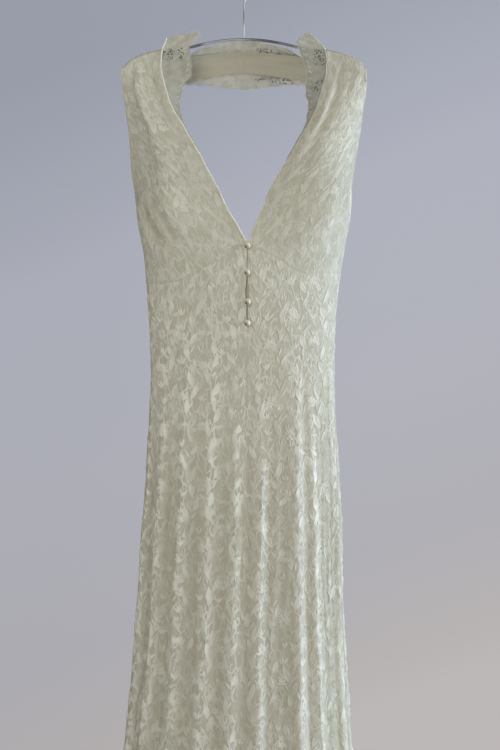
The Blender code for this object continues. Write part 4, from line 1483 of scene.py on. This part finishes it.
def folded_edge(side, word, cloth):
    """The folded edge between a strap and its lace, from the lace's top to the bottom of the V. Its
    paleness is painted highlight, more on the left.
    """
    drops = np.linspace(NECK_LACE[side][0].drop * MM, NECK_BOTTOM_DROP, 150)
    table = NECK_LACE[side]
    lean = np.where(drops < table[-1].drop * MM, along(table, drops / MM, "lean"), 0) * MM
    x, y = sewn_line(side, drops)
    x = x - side * (lean + FOLD_IN)
    waver = 0.25 * MM * np.sin(drops / (9 * MM)) + 0.2 * MM * np.sin(drops / (4.1 * MM))
    path = stack(x + waver, y - 0.5 * MM, CROWN_Z - drops)
    name = f"folded_edge_{word}"
    return tubes(name, [path], FOLD_RADIUS[side], 10, cloth, (), FOLD_PAINTED_LIGHT[side])


def underlap(cloth):
    """The strip of lining behind the buttons, which shows dark through the opening: partly real shade,
    partly the lining's painted hollow shade, as it carries no painted-light share.
    """
    drops = np.linspace(UNDERLAP_TOP_DROP, UNDERLAP_LOW_DROP, 40)
    aside = np.linspace(-UNDERLAP_WIDTH / 2, UNDERLAP_WIDTH / 2, 7)
    drop, across = np.meshgrid(drops, aside, indexing="ij")
    front = gown(1, np.zeros(drop.shape), drop)
    bow = 1.2 * MM * (across / UNDERLAP_WIDTH * 2) ** 2
    points = front + stack(across, CLOTH_WALL + 1.2 * MM + bow, 0)
    uvs = stack(across, drop, 0)[..., :2]
    outward = np.zeros(points.shape) + np.array([0, -1.0, 0])
    made = shell("placket_underlap", points, outward, UNDERLAP_WALL, uvs, cloth, [])


def stray_threads(thread):
    """A few loose ends of thread at the shoulders and the tops of the edgings."""
    paths = []
    for stray in STRAYS:
        t = np.linspace(0, 1, 9)
        x = (stray.x + (stray.to_x - stray.x) * t + stray.bow * np.sin(np.pi * t)) * MM
        drop = (stray.drop + (stray.to_drop - stray.drop) * t - stray.bow * np.sin(np.pi * t)) * MM
        y = -7.5 * MM + 2 * MM * t
        paths.append(stack(x, y, CROWN_Z - drop))
    rng = np.random.default_rng(FUZZ_SEED)
    for side in (-1, 1):
        first = NECK_LACE[side][0].drop * MM
        for share in np.linspace(0.08, 0.98, FUZZ_COUNT):
            root = neck_lace_point(side, np.array([first]), np.array([share]))[0]
            aside, toward = 0.9 * rng.standard_normal(), 0.3 * rng.standard_normal()
            way = np.array([aside, toward, 1 + 0.4 * rng.random()])
            t = np.linspace(0, 1, 5)[:, None]
            curl = np.array([rng.standard_normal(), 0, 0]) * MM * t**2
            paths.append(root + way * FUZZ_LENGTH * (0.5 + rng.random()) * t + curl)
    tubes("stray_threads", paths, STRAY_RADIUS, 4, thread)


def camera():
    data = bpy.data.cameras.new("camera")
    data.sensor_fit = "VERTICAL"
    data.sensor_height = 36.0
    data.lens = 18.0 / (CAMERA_HALF_VIEW / -CAMERA_PLACE[1])
    made = bpy.data.objects.new("camera", data)
    made.location = CAMERA_PLACE
    made.rotation_euler = (math.radians(90), 0, 0)
    bpy.context.scene.collection.objects.link(made)
    bpy.context.scene.camera = made


def world():
    """A pale blue-grey studio backdrop, and dimmer light that is warmer and weaker from the left."""
    studio = Nodes(bpy.data.worlds.new("studio"))
    way = studio.place("Generated")
    x = studio.node("ShaderNodeSeparateXYZ", {0: way}).outputs["X"]
    slant = studio.vector("DOT_PRODUCT", way, BACKDROP_SLANT)
    height = studio.ramp(slant, -BACKDROP_REACH, BACKDROP_REACH, kind="LINEAR")
    ramp = studio.node("ShaderNodeValToRGB", {0: height})
    stops = ramp.color_ramp.elements
    while len(stops) < len(BACKDROP):
        stops.new(0.5)
    for stop, sky in zip(stops, BACKDROP):
        stop.position = (sky.height / BACKDROP_REACH + 1) / 2
        stop.color = opaque(srgb(sky.colour))
    shade = studio.scaled(ramp.outputs[0], studio.ramp(x, *BACKDROP_ACROSS))
    ambient = studio.scaled(AMBIENT, studio.ramp(x, *AMBIENT_ACROSS, "LINEAR"))
    seen = studio.node("ShaderNodeLightPath").outputs["Is Camera Ray"]
    background = studio.tree.nodes["Background"]
    studio.tree.links.new(studio.mix(seen, ambient, shade), background.inputs["Color"])
    bpy.context.scene.world = studio.owner


def lamp(row):
    data = bpy.data.lights.new(row.name, "AREA")
    data.shape = "RECTANGLE"
    data.size, data.size_y = row.size
    data.energy = row.power
    data.color = row.colour
    made = bpy.data.objects.new(row.name, data)
    made.location = row.place
    made.rotation_euler = (Vector(LAMP_TARGET) - Vector(row.place)).to_track_quat("-Z", "Y").to_euler()
    bpy.context.scene.collection.objects.link(made)


def floor():
    turn = np.linspace(0, 2 * np.pi, 97)[:-1]
    level = cad_box[0].z - FLOOR_CLEARANCE
    points = [(FLOOR_RADIUS * math.cos(a), FLOOR_RADIUS * math.sin(a), level) for a in turn]
    mesh = bpy.data.meshes.new("floor")
    mesh.from_pydata(points, [], [tuple(range(len(points)))])
    mesh.materials.append(floor_material())
    made = bpy.data.objects.new("floor", mesh)
    bpy.context.scene.collection.objects.link(made)


Looks = namedtuple("Looks", "cloth motif soft_cloth soft_motif edge_motif lining thread")


def side_panels(side, word, looks):
    """One side's halter front with its folded edge, and its front and back of the skirt."""
    panel = Halter(f"bodice_{word}_cloth", f"bodice_{word}", side)
    bodice, lace = dress_panel(panel, looks.soft_cloth, looks.soft_motif, BODICE_SEED + side)
    fold = folded_edge(side, word, looks.motif)
    for front, place, seed in ((True, "front", FRONT_SEED), (False, "back", BACK_SEED)):
        panel = Quarter(f"{place}_{word}_cloth", f"{place}_{word}", side, front)
        made, lace = dress_panel(panel, looks.cloth, looks.motif, seed + side)
    return bodice


def neck_edging(side, word, looks):
    """The sheer edging beside the neck, with leaves."""
    table = NECK_LACE[side]
    drops = np.linspace(table[0].drop * MM, table[-1].drop * MM, NECK_LACE_ROWS)
    net = Net(lambda drop, share: neck_lace_point(side, drop, share), drops)
    look = sheer_material(
        f"neck_net_{word}",
        NECK_COVER,
        NECK_PAINTED_SHADOW[side],
        NECK_OPAQUE[side],
        NECK_TONE[side],
    )
    name = f"neck_lace_{word}_net"
    made = net_piece(name, f"neck_lace_{word}", net, look)
    rng = np.random.default_rng(NECK_LACE_SEED + side)
    leaves = lace_piece(name + "_lace", [edge_leaves(net, rng)], looks.edge_motif)
    loops = tubes(name + "_picots", edge_loops(net, rng), PICOT_RADIUS, 4, looks.thread)


def band_edging(low, word, looks):
    """A sheer edging along the band's lower or upper edge."""
    places = np.linspace(-1, 1, BAND_LACE_ROWS)
    net = Net(lambda place, share: band_lace_point(low, place, share), places)
    look = sheer_material(f"band_net_{word}", BAND_COVER[low], BAND_PAINTED_SHADOW[low])
    name = f"band_lace_{word}_net"
    made = net_piece(name, f"band_lace_{word}", net, look)
    rng = np.random.default_rng(BAND_LACE_SEED + low)
    loops = tubes(name + "_picots", edge_loops(net, rng), PICOT_RADIUS, 4, looks.thread)


def main():
    camera()
    world()
    for row in LAMPS:
        lamp(row)
    floor()
    bpy.context.scene.view_settings.view_transform = "Standard"
    looks = Looks(
        cloth=cloth_material("lined_net", weight=1.0, deeper=0.02),
        motif=motif_material("lace_motif", *LEAF_SHADE_TO_LIGHT, roughness=0.32),
        soft_motif=motif_material("lace_motif_soft", *SOFT_LEAF_SHADE_TO_LIGHT, roughness=0.46),
        edge_motif=motif_material("lace_motif_edge", *EDGE_LEAF, roughness=0.5),
        soft_cloth=cloth_material("lined_net_soft", weight=0.62, deeper=0.05),
        lining=cloth_material("smooth_lining", weight=0.12, deeper=0.0),
        thread=thread_material(),
    )
    for side, word in ((-1, "left"), (1, "right")):
        bodice = side_panels(side, word, looks)
        strip = band(f"neck_band_{word}_cloth", f"neck_band_{word}", side, looks.lining)
        neck_edging(side, word, looks)
    band_edging(True, "low", looks)
    band_edging(False, "top", looks)
    pearls(pearl_material(), looks.thread)
    underlap(looks.lining)
    stray_threads(looks.thread)
    hanger(steel_material())


main()
